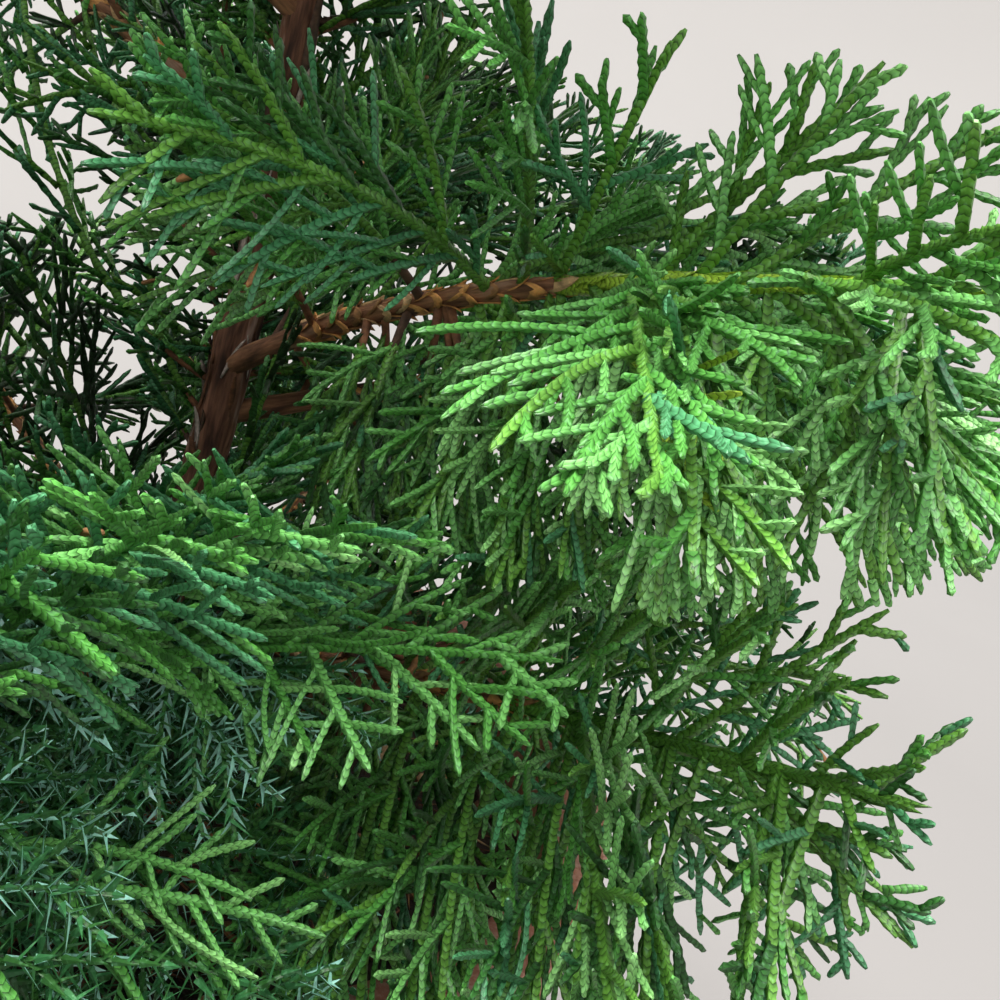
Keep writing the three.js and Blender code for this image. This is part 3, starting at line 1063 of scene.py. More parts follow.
@dataclass
class Growth:
    """Shoots with side sprays, and cords of scale leaves or needles on those."""

    key: int
    character: Character = Character.GREEN
    needles: float = 0.0
    needles_below: float = 88 * MM
    side_gap: float = 5.6 * MM
    side_longest: float = 46 * MM
    side_opening: float = 1.0
    side_curl: float = 5.0
    side_waver: float = 2.6
    cord_gap: float = 4.4 * MM
    cord_longest: float = 23 * MM
    cord_opening: float = 0.80
    cord_curl: float = 9.0
    cord_waver: float = 5.0
    cord_radius: float = 0.66 * MM
    away_radius: float = 1.0 * MM
    middle_radius: float = 0.74 * MM
    droop: float = 2.2
    lift: float = 0.20
    needle_gap: float = 1.8 * MM
    needle_width: float = 1.5 * MM
    bloomed: float = 0.6
    nearest: float = 78 * MM
    low_nearest: float = 78 * MM
    stems: Tone = Tone.OLIVE
    olive: float = 0.3
    shapes: SmallShapes = field(default_factory=SmallShapes)
    young: SmallShapes = field(default_factory=SmallShapes)
    wood: SmallShapes = field(default_factory=SmallShapes)

    def __post_init__(self) -> None:
        """Seeds the numbers that only this growth uses."""
        self.random = np.random.default_rng([SEED, self.key])

    def shoots(self) -> Twigs:
        """The shoots that all else grows on."""
        raise NotImplementedError

    def holds(self, points: np.ndarray, margin: float) -> np.ndarray:
        """Which points the growth may reach: all that lie above the litter by a margin."""
        return points[..., 2] > SOIL_Z + LITTER_TOP + margin

    def outwardness(self, points: np.ndarray) -> np.ndarray:
        """How far out in the crown points are, from 0 to 1."""
        return np.hypot(points[:, 0], points[:, 1]) / crown_radius(80 * MM)

    def _places(self, twigs: Twigs, gap: float, first: float, last: float) -> tuple:
        """Evenly spaced places along twigs, each lot with its own start.

        Args:
            twigs: The twigs.
            gap: The distance between places.
            first: The first place, in gaps.
            last: The share of the length where they end.

        Returns:
            Shares, which of them count, and their numbers along the twig.
        """
        most = max(int(twigs.length.max() / gap), 1)
        index = np.broadcast_to(np.arange(most)[None, :], (len(twigs), most))
        jitter = self.random.uniform(0, 0.35, (len(twigs), most))
        start = first + self.random.uniform(-0.3, 0.3, (len(twigs), 1))
        share = (index + start + jitter) * gap / twigs.length[:, None]
        return np.minimum(share, 1), share < last, index

    def _forks(self, carriers: Twigs, gap: float, first: float, last: float, shifted: bool) -> Forks:
        """Where twigs fork off their carriers.

        Args:
            carriers: The twigs that carry them.
            gap: The distance between forks.
            first: The first fork, in gaps.
            last: The share of the length where they end.
            shifted: Whether every other carrier starts on its other side.

        Returns:
            The forks.
        """
        share, keep, index = self._places(carriers, gap, first, last)
        owner = np.broadcast_to(np.arange(len(carriers))[:, None], share.shape)[keep]
        forward = carriers.tangent(share)[keep]
        normal = unit(np.cross(forward, carriers.side[owner]))
        side = unit(np.cross(normal, forward))
        number = index[keep] + owner if shifted else index[keep]
        sign = np.where(number % 2, 1, -1)[:, None]
        return Forks(owner, share[keep], carriers.at(share)[keep], forward, sign * side, normal)

    def _free(self, twigs: Twigs, margin: float) -> np.ndarray:
        """Which twigs end in the growth's space and keep clear of the place that the near side faces."""
        return self.holds(twigs.tips(), margin) & clear_of_view(twigs, self.nearest, self.low_nearest)

    def side_sprays(self, shoots: Twigs) -> tuple[Twigs, np.ndarray]:
        """The side sprays on the shoots, in each shoot's plane.

        Args:
            shoots: The shoots.

        Returns:
            The side sprays, and the shoot that each is on.
        """
        forks = self._forks(shoots, self.side_gap, 0.9, 0.97, True)
        along = forks.along
        count = len(along)
        opening = mixed(1.0, 0.60, along) * self.side_opening + self.random.normal(0, 0.10, count)
        lift = self.random.normal(0, self.lift, count)
        profile = np.clip(0.50 + 1.5 * along - 1.85 * along**2, 0.14, 1)
        size = np.minimum(self.side_longest, 0.42 * shoots.length[forks.owner] + 7 * MM)
        length = size * profile * self.random.uniform(0.7, 1.15, count)
        waver = self.random.normal(0, self.side_waver, (count, 3))
        bend = forks.forward * self.side_curl + waver - UP * self.droop
        twigs = forks.twigs(opening, lift, bend, length)
        for _ in range(5):
            twigs.length = np.where(self.holds(twigs.tips(), 1 * MM), twigs.length, twigs.length * 0.75)
        keep = (twigs.length > 4 * MM) & self._free(twigs, 0.8 * MM)
        return twigs.kept(keep), forks.owner[keep]

    def cords(self, sides: Twigs) -> tuple[Twigs, np.ndarray]:
        """The cords on the side sprays.

        Args:
            sides: The side sprays.

        Returns:
            The cords, and the side spray that each is on.
        """
        forks = self._forks(sides, self.cord_gap, 0.95, 0.88, False)
        count = len(forks.along)
        opening = self.cord_opening + self.random.normal(0, 0.13, count)
        lift = self.random.normal(0, 0.7 * self.lift, count)
        rest = sides.length[forks.owner] * (1 - forks.along)
        length = np.clip(0.72 * rest + 3.0 * MM, 4.5 * MM, self.cord_longest)
        length = length * self.random.uniform(0.65, 1.15, count)
        waver = self.random.normal(0, self.cord_waver, (count, 3))
        bend = forks.forward * self.cord_curl + waver
        twigs = forks.twigs(opening, lift, bend, length)
        keep = self._free(twigs, 0.3 * MM)
        return twigs.kept(keep), forks.owner[keep]

    def add_cords(self, twigs: Twigs, slots: np.ndarray, thicker: float = 1.0, foot: float = 1.0) -> None:
        """Adds cords of scale leaves, which are tubes with swellings in turn.

        Args:
            twigs: The cords.
            slots: The material slot of each.
            thicker: How much thicker they are than the finest.
            foot: How much thicker again they are at the foot.
        """
        levels = level_of(twigs.points(0.5))
        for level, detail in enumerate(Detail):
            sides, pitch, bulge = detail.value
            rings = np.clip(np.round(twigs.length / pitch).astype(int) + 1, 3 if level else 4, 60)
            rings = np.where(levels == level, rings, 0)
            radius = (self.cord_radius, self.middle_radius, self.away_radius)[level] * thicker
            for count in np.unique(rings[rings > 0]):
                chosen = rings == count
                some = twigs.kept(chosen)
                steps = np.linspace(0, 1, count)
                steps[-2] = max(steps[-2], 0.88)
                share = np.broadcast_to(steps, (len(some), count))
                taper = np.clip((1 - share) / 0.12, 0, 1) ** 0.5 * 0.6 + 0.4
                girth = radius * mixed(foot, 1.0, share) * taper
                girth = girth * self.random.uniform(0.88, 1.12, (len(some), 1))
                self.shapes.tubes(some.at(share), girth, some.side, slots[chosen], sides, bulge)

    def add_needles(self, twigs: Twigs) -> None:
        """Adds young twigs with crossed pairs of needles.

        Args:
            twigs: The twigs.
        """
        fine = level_of(twigs.base) < 2
        for coarse, some in ((1.0, twigs.kept(fine)), (2.6, twigs.kept(~fine))):
            if not len(some):
                continue
            share, keep, index = self._places(some, self.needle_gap * coarse, 0.6, 1.0)
            base = np.repeat(some.at(share)[keep], 2, axis=0)
            axis = np.repeat(some.tangent(share)[keep], 2, axis=0)
            side = np.repeat(np.broadcast_to(some.side[:, None], share.shape + (3,))[keep], 2, axis=0)
            side = unit(square_to(side, axis))
            turn = np.tile(np.arange(2) * np.pi, keep.sum()) + np.repeat(index[keep], 2) * np.pi / 2
            turn = turn + self.random.normal(0, 0.10, len(turn))
            out = turned(side, np.cross(axis, side), turn)
            direction = turned(axis, out, self.random.normal(0.88, 0.07, len(turn)))
            size = np.repeat(np.clip(1.15 - share[keep] ** 3 * 0.55, 0.3, 1), 2)
            length = self.random.uniform(4.7, 6.0, len(turn)) * MM * size
            bloomed = np.where(self.random.uniform(0, 1, len(some)) < self.bloomed, 0.9, 0.1)
            chances = np.repeat(np.broadcast_to(bloomed[:, None], share.shape)[keep], 2)
            drawn = self.random.uniform(0, 1, (2, len(turn)))
            upper = np.where(drawn[0] < chances, slot_of(Tone.BLOOM), slot_of(Tone.NEEDLE))
            under = np.where(drawn[1] < 0.5, slot_of(Tone.DEEP), slot_of(Tone.NEEDLE))
            width = self.needle_width * coarse**0.5
            self.young.blades(base, direction, axis, length, width, 0.45 * MM, (upper, under))
            rings = np.broadcast_to(np.linspace(0, 1, 4), (len(some), 4))
            radii = np.full(rings.shape, 0.42 * MM)
            self.young.tubes(some.at(rings), radii, some.side, slot_of(Tone.DEEP), sides=3)

    def _dealt(self, sides: Twigs, owner: np.ndarray) -> np.ndarray:
        """The leaf tone of each side spray: alike along a shoot, and lighter towards the crown's outside as
        painted shade on the inner sprays.

        Args:
            sides: The side sprays.
            owner: The shoot that each is on.

        Returns:
            Their material slots.
        """
        # painted shade: sprays whose tips lie further in take darker tones, those further out lighter ones
        lighter = np.clip((self.outwardness(sides.tips()) - 0.55) * 0.4, -0.12, 0.16)
        shares = np.cumsum(self.character.value) / np.sum(self.character.value)
        alike = self.random.uniform(0, 1, owner.max() + 1)[owner]
        drawn = np.abs(alike + self.random.normal(0, 0.15, len(sides)))
        drawn = 1 - np.abs(1 - drawn)
        return np.searchsorted(shares, np.clip(drawn * 0.84 + lighter, 0, 0.999))

    def grow(self) -> None:
        """Grows side sprays, cords and needles on the shoots."""
        shoots = self.shoots()
        sides, carrier = self.side_sprays(shoots)
        tips = sides.tips()
        low = (tips[:, 2] < SOIL_Z + self.needles_below) & in_box(tips, -OVERHANG)
        young = (self.random.uniform(0, 1, len(sides)) < self.needles) & low
        slots = self._dealt(sides, carrier)
        cords, owner = self.cords(sides)
        drawn = self.random.uniform(0, 1, len(owner))
        lighter = (drawn < LIGHTER_BELOW) & (slots[owner] < slot_of(Tone.BRIGHT))
        shades = np.where(lighter, slots[owner] + 1, slots[owner])
        shades = np.where((drawn > DRIED_ABOVE) & (cords.length < 8 * MM), slot_of(Tone.DRIED), shades)
        if young.any():
            bearing = (cords.length > 6 * MM) & (drawn < 0.55) & in_box(cords.tips(), -OVERHANG)
            needled = cords.kept(young[owner] & bearing)
            self.add_needles(Twigs.joined([sides.kept(young), needled]))
        olive = np.where(self.random.uniform(0, 1, len(sides)) < self.olive, slot_of(self.stems), slots)
        self.add_cords(sides.kept(~young), olive[~young], 1.1, 1.35)
        self.add_cords(cords.kept(~young[owner]), shades[~young[owner]])
        green = self.outwardness(shoots.base) > 0.52
        outer = Twigs.joined([shoots.kept(~green).beyond(0.2), shoots.kept(green)])
        self.add_cords(outer, np.full(len(outer), slot_of(self.stems)), 1.25, 1.4)
        self._add_wood(shoots.kept(~green))

    def _add_wood(self, shoots: Twigs) -> None:
        """Adds the woody inner parts of shoots.

        Args:
            shoots: The shoots.
        """
        fine = level_of(shoots.base) < 2
        for some, rings, faces in ((shoots.kept(fine), 8, 6), (shoots.kept(~fine), 4, 3)):
            share = np.broadcast_to(np.linspace(0, 0.26, rings), (len(some), rings))
            radii = np.broadcast_to(np.linspace(1.15, 0.8, rings) * MM, share.shape)
            slot = np.where(np.arange(len(some)) % 3, slot_of(Tone.RUST), slot_of(Tone.TWIG))
            self.wood.tubes(some.at(share), radii, some.side, slot, sides=faces)


@dataclass
class Mass(Growth):
    """One mass of foliage, which grows from the stem that leads on from its bough."""

    spray: Spray | None = None
    fill: int = 3
    inner: int = 5
    leaning: int = 0
    leans: tuple[float, ...] = (1.0,)
    swings: tuple[float, ...] = (0.0,)
    slack: float = 0.0
    sinking: float = 0.0
    upright: bool = False
    green: Tone = Tone.OLIVE

    def holds(self, points: np.ndarray, margin: float) -> np.ndarray:
        """Which points lie in the mass's space, or low on its bare bough."""
        radial = np.hypot(points[..., 0], points[..., 1])
        near = radial < 0.36 * self.spray.reach
        low = np.abs(points[..., 2] - SOIL_Z - self.spray.middle) < 1.3 * self.spray.half
        space = self.spray.holds(points + UP * self.sinking, margin - self.slack) & in_box(points)
        if self.sinking:
            space &= (radial < RIM_INSIDE) | (points[..., 2] > SOIL_Z + RIM_CLEARANCE)
        return space | (near & low & super().holds(points, margin))

    def outwardness(self, points: np.ndarray) -> np.ndarray:
        """How far out in the mass points are, from 0 to 1."""
        return np.hypot(points[:, 0], points[:, 1]) / self.spray.reach

    def _shoot(self, t: float, key: int, part: int, roll: float, opening: float) -> tuple:
        """One shoot from the stem.

        Args:
            t: Its place on the stem's arc.
            key: The number of the solid's shoot that it belongs to.
            part: Its number among those that belong to it.
            roll: How far it is turned round the stem.
            opening: Its angle to the stem.

        Returns:
            Its base, direction, side and bend.
        """
        index = self.spray.index
        near = self.spray.stem(np.array([t - 0.001, t, t + 0.001]))
        forward = unit(near[2] - near[0])
        level = unit(np.cross(forward, UP))
        over = np.cross(level, forward)
        out = level * math.cos(roll) + over * math.sin(roll)
        direction = forward * math.cos(opening) + out * math.sin(opening)
        side = unit(np.cross(direction, out))
        twist = 1.4 * (chance(index, key, 4) - 0.5) + 1.1 * part
        if self.upright:
            side = unit(UP - direction * direction[2])
            twist = 0.9 * (chance(index, key, 4) - 0.5)
        side = side * math.cos(twist) + np.cross(direction, side) * math.sin(twist)
        sway = 2.6 * (chance(index, key, 7 + part) - 0.5)
        bend = level * sway - UP * self.droop * (0.3 + chance(index, key, 20 + part))
        return near[1], direction, side, bend - direction * (bend @ direction)

    def _leaning_shoot(self, place: int) -> tuple:
        """One of the shoots that all rise from the stem or hang from it, in fans that face outwards.

        Args:
            place: Its number.

        Returns:
            Its base, direction, side and bend.
        """
        index = self.spray.index
        share = (place + chance(index, place, 51)) / self.leaning
        base = self.spray.stem(np.array(mixed(0.36, 0.99, share)))
        out = unit(base * np.array([1, 1, 0]))
        across = np.cross(UP, out)
        aside = 1.1 * (chance(index, place, 52) - 0.5) + self.swings[place % len(self.swings)]
        lean = UP * self.leans[place % len(self.leans)]
        direction = unit(lean + out * (0.15 + 0.6 * chance(index, place, 53)) + across * aside)
        side = unit(across - direction * (across @ direction))
        twist = 0.9 * (chance(index, place, 54) - 0.5)
        side = side * math.cos(twist) + np.cross(direction, side) * math.sin(twist)
        bend = out * 2.5 - UP * self.droop * 0.6
        return base, direction, side, bend - direction * (bend @ direction)

    def grow(self) -> None:
        """Grows the shoots, and the green end of the stem with its scales."""
        super().grow()
        t = np.linspace(GREEN_FROM, 1.0, 46)
        paths, radii = self.spray.stem(t)[None], self.spray.stem_radius(t)[None]
        self.shapes.tubes(paths, radii, UP[None], slot_of(self.green), sides=6, bulge=0.05)
        self._add_scales(self.shapes, GREEN_FROM, 0.99, (self.green, Tone.OLIVE, self.green))
        dry = (Tone.AMBER, Tone.DRIED, Tone.TAN, Tone.AMBER)
        self._add_scales(self.wood, 0.5 * BOUGH_SHARE, GREEN_FROM + 0.01, dry)

    def _add_scales(self, shapes: SmallShapes, first: float, last: float, tones: Sequence[Tone]) -> None:
        """Adds the scales along a stretch of the stem.

        Args:
            shapes: Where they are gathered.
            first: The share of the arc where they start.
            last: The share where they end.
            tones: The tones that the pairs take by chance.
        """
        pitch = 3.6 * MM / (1.12 * self.spray.reach)
        t = np.arange(first, last, pitch)
        slots = self.random.choice([slot_of(tone) for tone in tones], 2 * len(t))
        lengths = self.random.uniform(6, 9, 2 * len(t)) * MM
        shapes.stem_scales(self.spray.stem(t), self.spray.stem_radius(t), slots, lengths)

    def shoots(self) -> Twigs:
        """The shoots along the stem, by the rule of the solids with more between each two."""
        spray = self.spray
        count = round(mixed(SHOOTS, SHOOTS_HIGH, spray.rank))
        rows = []
        for place in range(self.fill * (count - 1) + 1):
            key, part = divmod(place, self.fill)
            along = 0.12 + 0.8 * place / (self.fill * (count - 1))
            roll = GOLDEN_ANGLE * key + 0.6 * chance(spray.index, key, 2) + 2.1 * part
            opening = 1.3 - 0.75 * along + 0.2 * (chance(spray.index, key, 3) - 0.5)
            opening = opening + 0.35 * part * (chance(spray.index, key, 9) - 0.5)
            rows.append(self._shoot(mixed(BOUGH_SHARE, 1, along), key, part, roll, opening))
        for place in range(self.inner):
            t = mixed(0.08, BOUGH_SHARE, (place + 0.6) / self.inner)
            roll = GOLDEN_ANGLE * place + 1.0 + 2.0 * chance(spray.index, 40)
            opening = 0.75 + 0.5 * chance(spray.index, place, 41)
            rows.append(self._shoot(t, place, 3, roll, opening))
        rows += [self._leaning_shoot(place) for place in range(self.leaning)]
        base, direction, side, bend = (np.array(column) for column in zip(*rows))
        twigs = Twigs(base, direction, side, bend, np.full(len(base), spray.reach))
        count = 60
        steps = np.linspace(0, 1, count)
        inside = self.holds(twigs.at(np.broadcast_to(steps, (len(base), count))), 1.5 * MM)
        inside[:, : int(count * 8 * MM / spray.reach) + 1] = True
        room = np.where(inside.all(1), count - 1, np.argmin(inside, axis=1) - 1)
        twigs.length = np.maximum(steps[room] * spray.reach, 12 * MM)
        return twigs.kept(clear_of_view(twigs, self.nearest, self.low_nearest))


@dataclass
class TrunkTwigs(Growth):
    """Short leafy twigs that the trunk carries between the turns of the ribbon."""

    count: int = 118
    lowest: float = 34 * MM
    highest: float = 590 * MM
    longest: float = 72 * MM

    def shoots(self) -> Twigs:
        """The twigs, turned round the trunk by the golden angle, shorter and wider apart higher up."""
        count = self.count
        heights = mixed(self.lowest, self.highest, np.linspace(0, 1, count) ** 1.35)
        turn = GOLDEN_ANGLE * np.arange(count) + self.random.normal(0, 0.25, count)
        rise = self.random.uniform(0.05, 0.75, count)
        direction = unit(turned(level_ways(turn), UP, rise))
        side = unit(np.cross(direction, UP))
        side = turned(side, np.cross(direction, side), self.random.uniform(-0.8, 0.8, count))
        bend = self.random.normal(0, 3.0, (count, 3)) + UP * 2.5
        longest = self.longest * mixed(1.0, 0.35, heights / TRUNK_HEIGHT)
        length = longest * self.random.uniform(0.5, 1.05, count)
        facing = direction @ unit(NEAR_PLACE * np.array([1, 1, 0])) > 0.2
        twigs = Twigs(trunk_points(heights), direction, side, square_to(bend, direction), length)
        return twigs.kept(~facing | (heights > 270 * MM))


@dataclass
class FootTwigs(Growth):
    """Low twigs with young needles, which spread over the soil from the trunk's foot."""

    count: int = 36
    longest: float = 132 * MM
    rim_inside: float = 114 * MM
    highest: float = 66 * MM
    widest: float = 162 * MM

    def holds(self, points: np.ndarray, margin: float) -> np.ndarray:
        """Which points lie just above the litter and clear of the pot's rim."""
        radial = np.hypot(points[..., 0], points[..., 1])
        height = points[..., 2] - SOIL_Z
        lowest = np.where(radial < self.rim_inside, LITTER_TOP, RIM_CLEARANCE)
        return (height > lowest + margin) & (height < self.highest) & (radial < self.widest)

    def shoots(self) -> Twigs:
        """The twigs, turned round the trunk's foot by the golden angle."""
        count = self.count
        turn = GOLDEN_ANGLE * np.arange(count) + self.random.normal(0, 0.2, count)
        rise = self.random.uniform(0.02, 0.34, count)
        direction = unit(turned(level_ways(turn), UP, rise))
        side = unit(np.cross(direction, UP))
        bend = self.random.normal(0, 1.6, (count, 3)) * np.array([1, 1, 0.3])
        base = trunk_points(mixed(7 * MM, 30 * MM, self.random.uniform(0, 1, count)))
        length = self.longest * self.random.uniform(0.45, 1, count)
        return Twigs(base, direction, side, square_to(bend, direction), length)


@dataclass
class Tuft(Growth):
    """The pointed tuft at the top of the plant."""

    count: int = 40
    longest: float = 62 * MM

    def holds(self, points: np.ndarray, margin: float) -> np.ndarray:
        """Which points lie below the plant's top."""
        return points[..., 2] < SOIL_Z + PLANT_HEIGHT + 4 * MM - margin

    def outwardness(self, points: np.ndarray) -> np.ndarray:
        """How far up in the tuft points are, from 0 to 1."""
        return np.clip((points[:, 2] - SOIL_Z - TRUNK_HEIGHT) / (PLANT_HEIGHT - TRUNK_HEIGHT), 0, 1)

    def shoots(self) -> Twigs:
        """Shoots round the leader, which close towards the top, and the leader itself."""
        count = self.count
        share = np.linspace(0.0, 0.92, count)
        opening = 0.95 - 0.60 * share + self.random.normal(0, 0.06, count)
        foot = trunk_points(np.array(TRUNK_HEIGHT - 14 * MM))
        base = foot + UP * (share * (PLANT_HEIGHT - TRUNK_HEIGHT + 6 * MM))[:, None]
        direction = turned(UP, level_ways(GOLDEN_ANGLE * np.arange(count)), opening)
        length = self.longest * (0.74 - 0.50 * share) * self.random.uniform(0.8, 1.1, count)
        base = np.concatenate([base, foot[None]])
        direction = np.concatenate([direction, unit(np.array([[0.02, -0.03, 1.0]]))])
        length = np.append(length, PLANT_HEIGHT - TRUNK_HEIGHT + 10 * MM)
        side = unit(np.cross(direction, np.array([0.31, 0.95, 0.0])))
        bend = self.random.normal(0, 1.5, direction.shape) + UP * 2.0
        return Twigs(base, direction, side, square_to(bend, direction), length)


@dataclass
class Crown:
    """The whole crown: the masses of foliage on the ribbon, the trunk's twigs and the tuft."""

    palette: Palette
    sprays: list[Spray] = field(default_factory=spray_list)
    shaded_masses: int = 9

    def _mass(self, spray: Spray, wood: SmallShapes) -> Mass:
        """One mass with its own settings.

        Args:
            spray: Its place.
            wood: Where its woody twigs are gathered.

        Returns:
            The mass, not yet grown.
        """
        own = {
            0: {"fill": 3, "side_gap": 7.0 * MM},
            3: {"character": Character.BLUISH, "needles": 0.15, "stems": Tone.MID},
            4: {
                "character": Character.BLUISH,
                "needles": 0.9,
                "needles_below": 96 * MM,
                "fill": 5,
                "leaning": 24,
                "leans": (1.0, -0.6, 0.8, -0.3),
                "swings": (0.2, 0.9, 0.1, 1.0),
                "slack": 3 * MM,
                "nearest": 122 * MM,
                "low_nearest": 160 * MM,
                "stems": Tone.MID,
            },
            5: {
                "character": Character.GREEN,
                "fill": 2,
                "side_gap": 7.6 * MM,
                "cord_gap": 4.8 * MM,
                "upright": True,
                "leaning": 26,
                "leans": (-0.9, 0.9, -0.8, -0.7),
                "swings": (-0.9, 0.1, -0.8, -1.1),
                "lift": 0.12,
                "slack": 8 * MM,
                "sinking": 18 * MM,
            },
            6: {
                "character": Character.SUNNY,
                "fill": 3,
                "droop": 4.0,
                "side_opening": 0.72,
                "cord_opening": 0.58,
                "side_longest": 50 * MM,
                "cord_longest": 27 * MM,
                "leaning": 16,
                "leans": (-1.2,),
                "slack": 12 * MM,
                "sinking": 12 * MM,
                "green": Tone.LIME,
            },
            9: {"character": Character.BLUISH},
            10: {"character": Character.BLUISH},
            14: {"fill": 5},
            15: {"fill": 5},
            16: {"fill": 5},
        }
        character = Character.SHADED if spray.index < self.shaded_masses else Character.GREEN
        settings = {"character": character, "fill": 4, **own.get(spray.index, {})}
        return Mass(key=spray.index, spray=spray, wood=wood, **settings)

    def _loose(self, wood: SmallShapes) -> list[tuple[str, tuple[str, ...], Growth]]:
        """The growths outside the masses.

        Args:
            wood: Where their woody twigs are gathered.

        Returns:
            The name of each, the nodes that it stands for, and the growth, not yet grown.
        """
        tuft = Tuft(key=301, character=Character.GREEN, side_longest=16 * MM, wood=wood)
        trunk = TrunkTwigs(key=302, character=Character.BLUISH, side_longest=24 * MM, wood=wood)
        middle = TrunkTwigs(
            key=304,
            character=Character.BLUISH,
            side_longest=34 * MM,
            count=52,
            lowest=110 * MM,
            highest=260 * MM,
            longest=124 * MM,
            wood=wood,
        )
        foot = FootTwigs(
            key=303, needles=1.0, side_longest=34 * MM, side_gap=9 * MM, cord_gap=6.5 * MM, wood=wood
        )
        return [
            ("tuft", ("foliage_top",), tuft),
            ("trunk_twigs", (), trunk),
            ("middle_twigs", (), middle),
            ("foot_twigs", (), foot),
        ]

    def _finish(self, shapes: SmallShapes, name: str, *nodes: str) -> int:
        """Makes a piece of foliage that stands for the nodes, and gives its number of triangles."""
        settle(shapes.make(name, self.palette), "foliage", *nodes)
        return shapes.triangles()

    def build(self) -> None:
        """Grows and dresses the masses, the tuft and the twigs along the trunk."""
        wood = SmallShapes()
        total = 0
        for spray in self.sprays:
            mass = self._mass(spray, wood)
            mass.grow()
            total += self._finish(mass.shapes, f"sprays_{spray.number}", f"foliage_{spray.number}")
            if mass.young.count:
                total += self._finish(mass.young, f"needles_{spray.number}")
        for name, nodes, growth in self._loose(wood):
            growth.grow()
            if growth.young.count:
                total += self._finish(growth.young, "foot_needles")
            total += self._finish(growth.shapes, name, *nodes)
        settle(wood.make("shoot_stems", self.palette), "bark")
        log.info("foliage in all: %d triangles", total)


# The bark's relief in layers: how fine round the limb, how fine along it, which way its seed
# shifts it, and how strongly it counts
BARK_LAYERS = ((2.4, 38, 1, 0.7), (6.5, 95, 1, 0.7), (0.8, 26, -1, 0.8))


@dataclass
class Limb:
    """A round limb that is bent along a curve and has fibrous bark."""

    name: str
    centres: np.ndarray
    radii: np.ndarray
    sides: int
    relief: float
    seed: float

    def build(self, material: bpy.types.Material, node: str) -> None:
        """Models the limb from a cylinder.

        Args:
            material: Its bark.
            node: The node that it stands for.
        """
        steps = len(self.centres) - 1
        add = bpy.ops.mesh.primitive_cylinder_add
        piece = begin(self.name, add, vertices=self.sides, radius=1, depth=1, location=(0, 0, 0.5))
        bpy.ops.mesh.select_all(action="DESELECT")
        bpy.ops.object.mode_set(mode="OBJECT")
        for edge in piece.data.edges:
            low, high = (piece.data.vertices[index].co.z for index in edge.vertices)
            edge.select = abs(high - low) > 0.5
        bpy.ops.object.mode_set(mode="EDIT")
        bpy.ops.mesh.select_mode(type="EDGE")
        bpy.ops.mesh.subdivide_edgering(number_cuts=steps - 1, interpolation="LINEAR")
        bpy.ops.object.mode_set(mode="OBJECT")
        self._bend(piece.data, steps)
        dress(piece, material)
        settle(piece, "bark", node)

    def _bend(self, mesh: bpy.types.Mesh, steps: int) -> None:
        """Lays the straight cylinder along the curve, with relief and a UV map in metres.

        Args:
            mesh: The cylinder's mesh.
            steps: How many steps it has along its length.
        """
        points = np.empty(len(mesh.vertices) * 3)
        mesh.vertices.foreach_get("co", points)
        points = points.reshape(-1, 3)
        ring = np.clip(np.round(points[:, 2] * steps).astype(int), 0, steps)
        angle = np.arctan2(points[:, 1], points[:, 0])
        tangent = unit(np.gradient(self.centres, axis=0))
        side = np.tile(np.array([0.0, 1.0, 0.0]), (steps + 1, 1))
        side = unit(square_to(side, tangent))
        over = np.cross(tangent, side)
        along = np.concatenate([[0], np.cumsum(np.linalg.norm(np.diff(self.centres, axis=0), axis=1))])
        rough = np.array([self._roughness(a, s) for a, s in zip(angle, along[ring])])
        radius = self.radii[ring] * (1 + self.relief * rough)
        around = turned(side[ring], over[ring], angle)
        placed = self.centres[ring] + around * radius[:, None]
        mesh.vertices.foreach_set("co", placed.ravel())
        corners = np.empty(len(mesh.loops), np.int32)
        mesh.loops.foreach_get("vertex_index", corners)
        turn = np.where(angle < 0, angle + 2 * np.pi, angle)
        uv = np.stack([turn * self.radii.mean(), along[ring]], -1)[corners]
        mesh.uv_layers.active.data.foreach_set("uv", uv.ravel())
        mesh.update()

    def _roughness(self, angle: float, along: float) -> float:
        """The bark's height at one place, from about -1 to 1.

        Args:
            angle: The turn round the limb.
            along: The distance along it.

        Returns:
            The height.
        """
        x, y = math.cos(angle), math.sin(angle)
        height = 0.0
        for turns, lengths, way, strength in BARK_LAYERS:
            place = Vector((x * turns, y * turns, along * lengths + way * self.seed))
            height += noise.noise(place) * strength
        return height


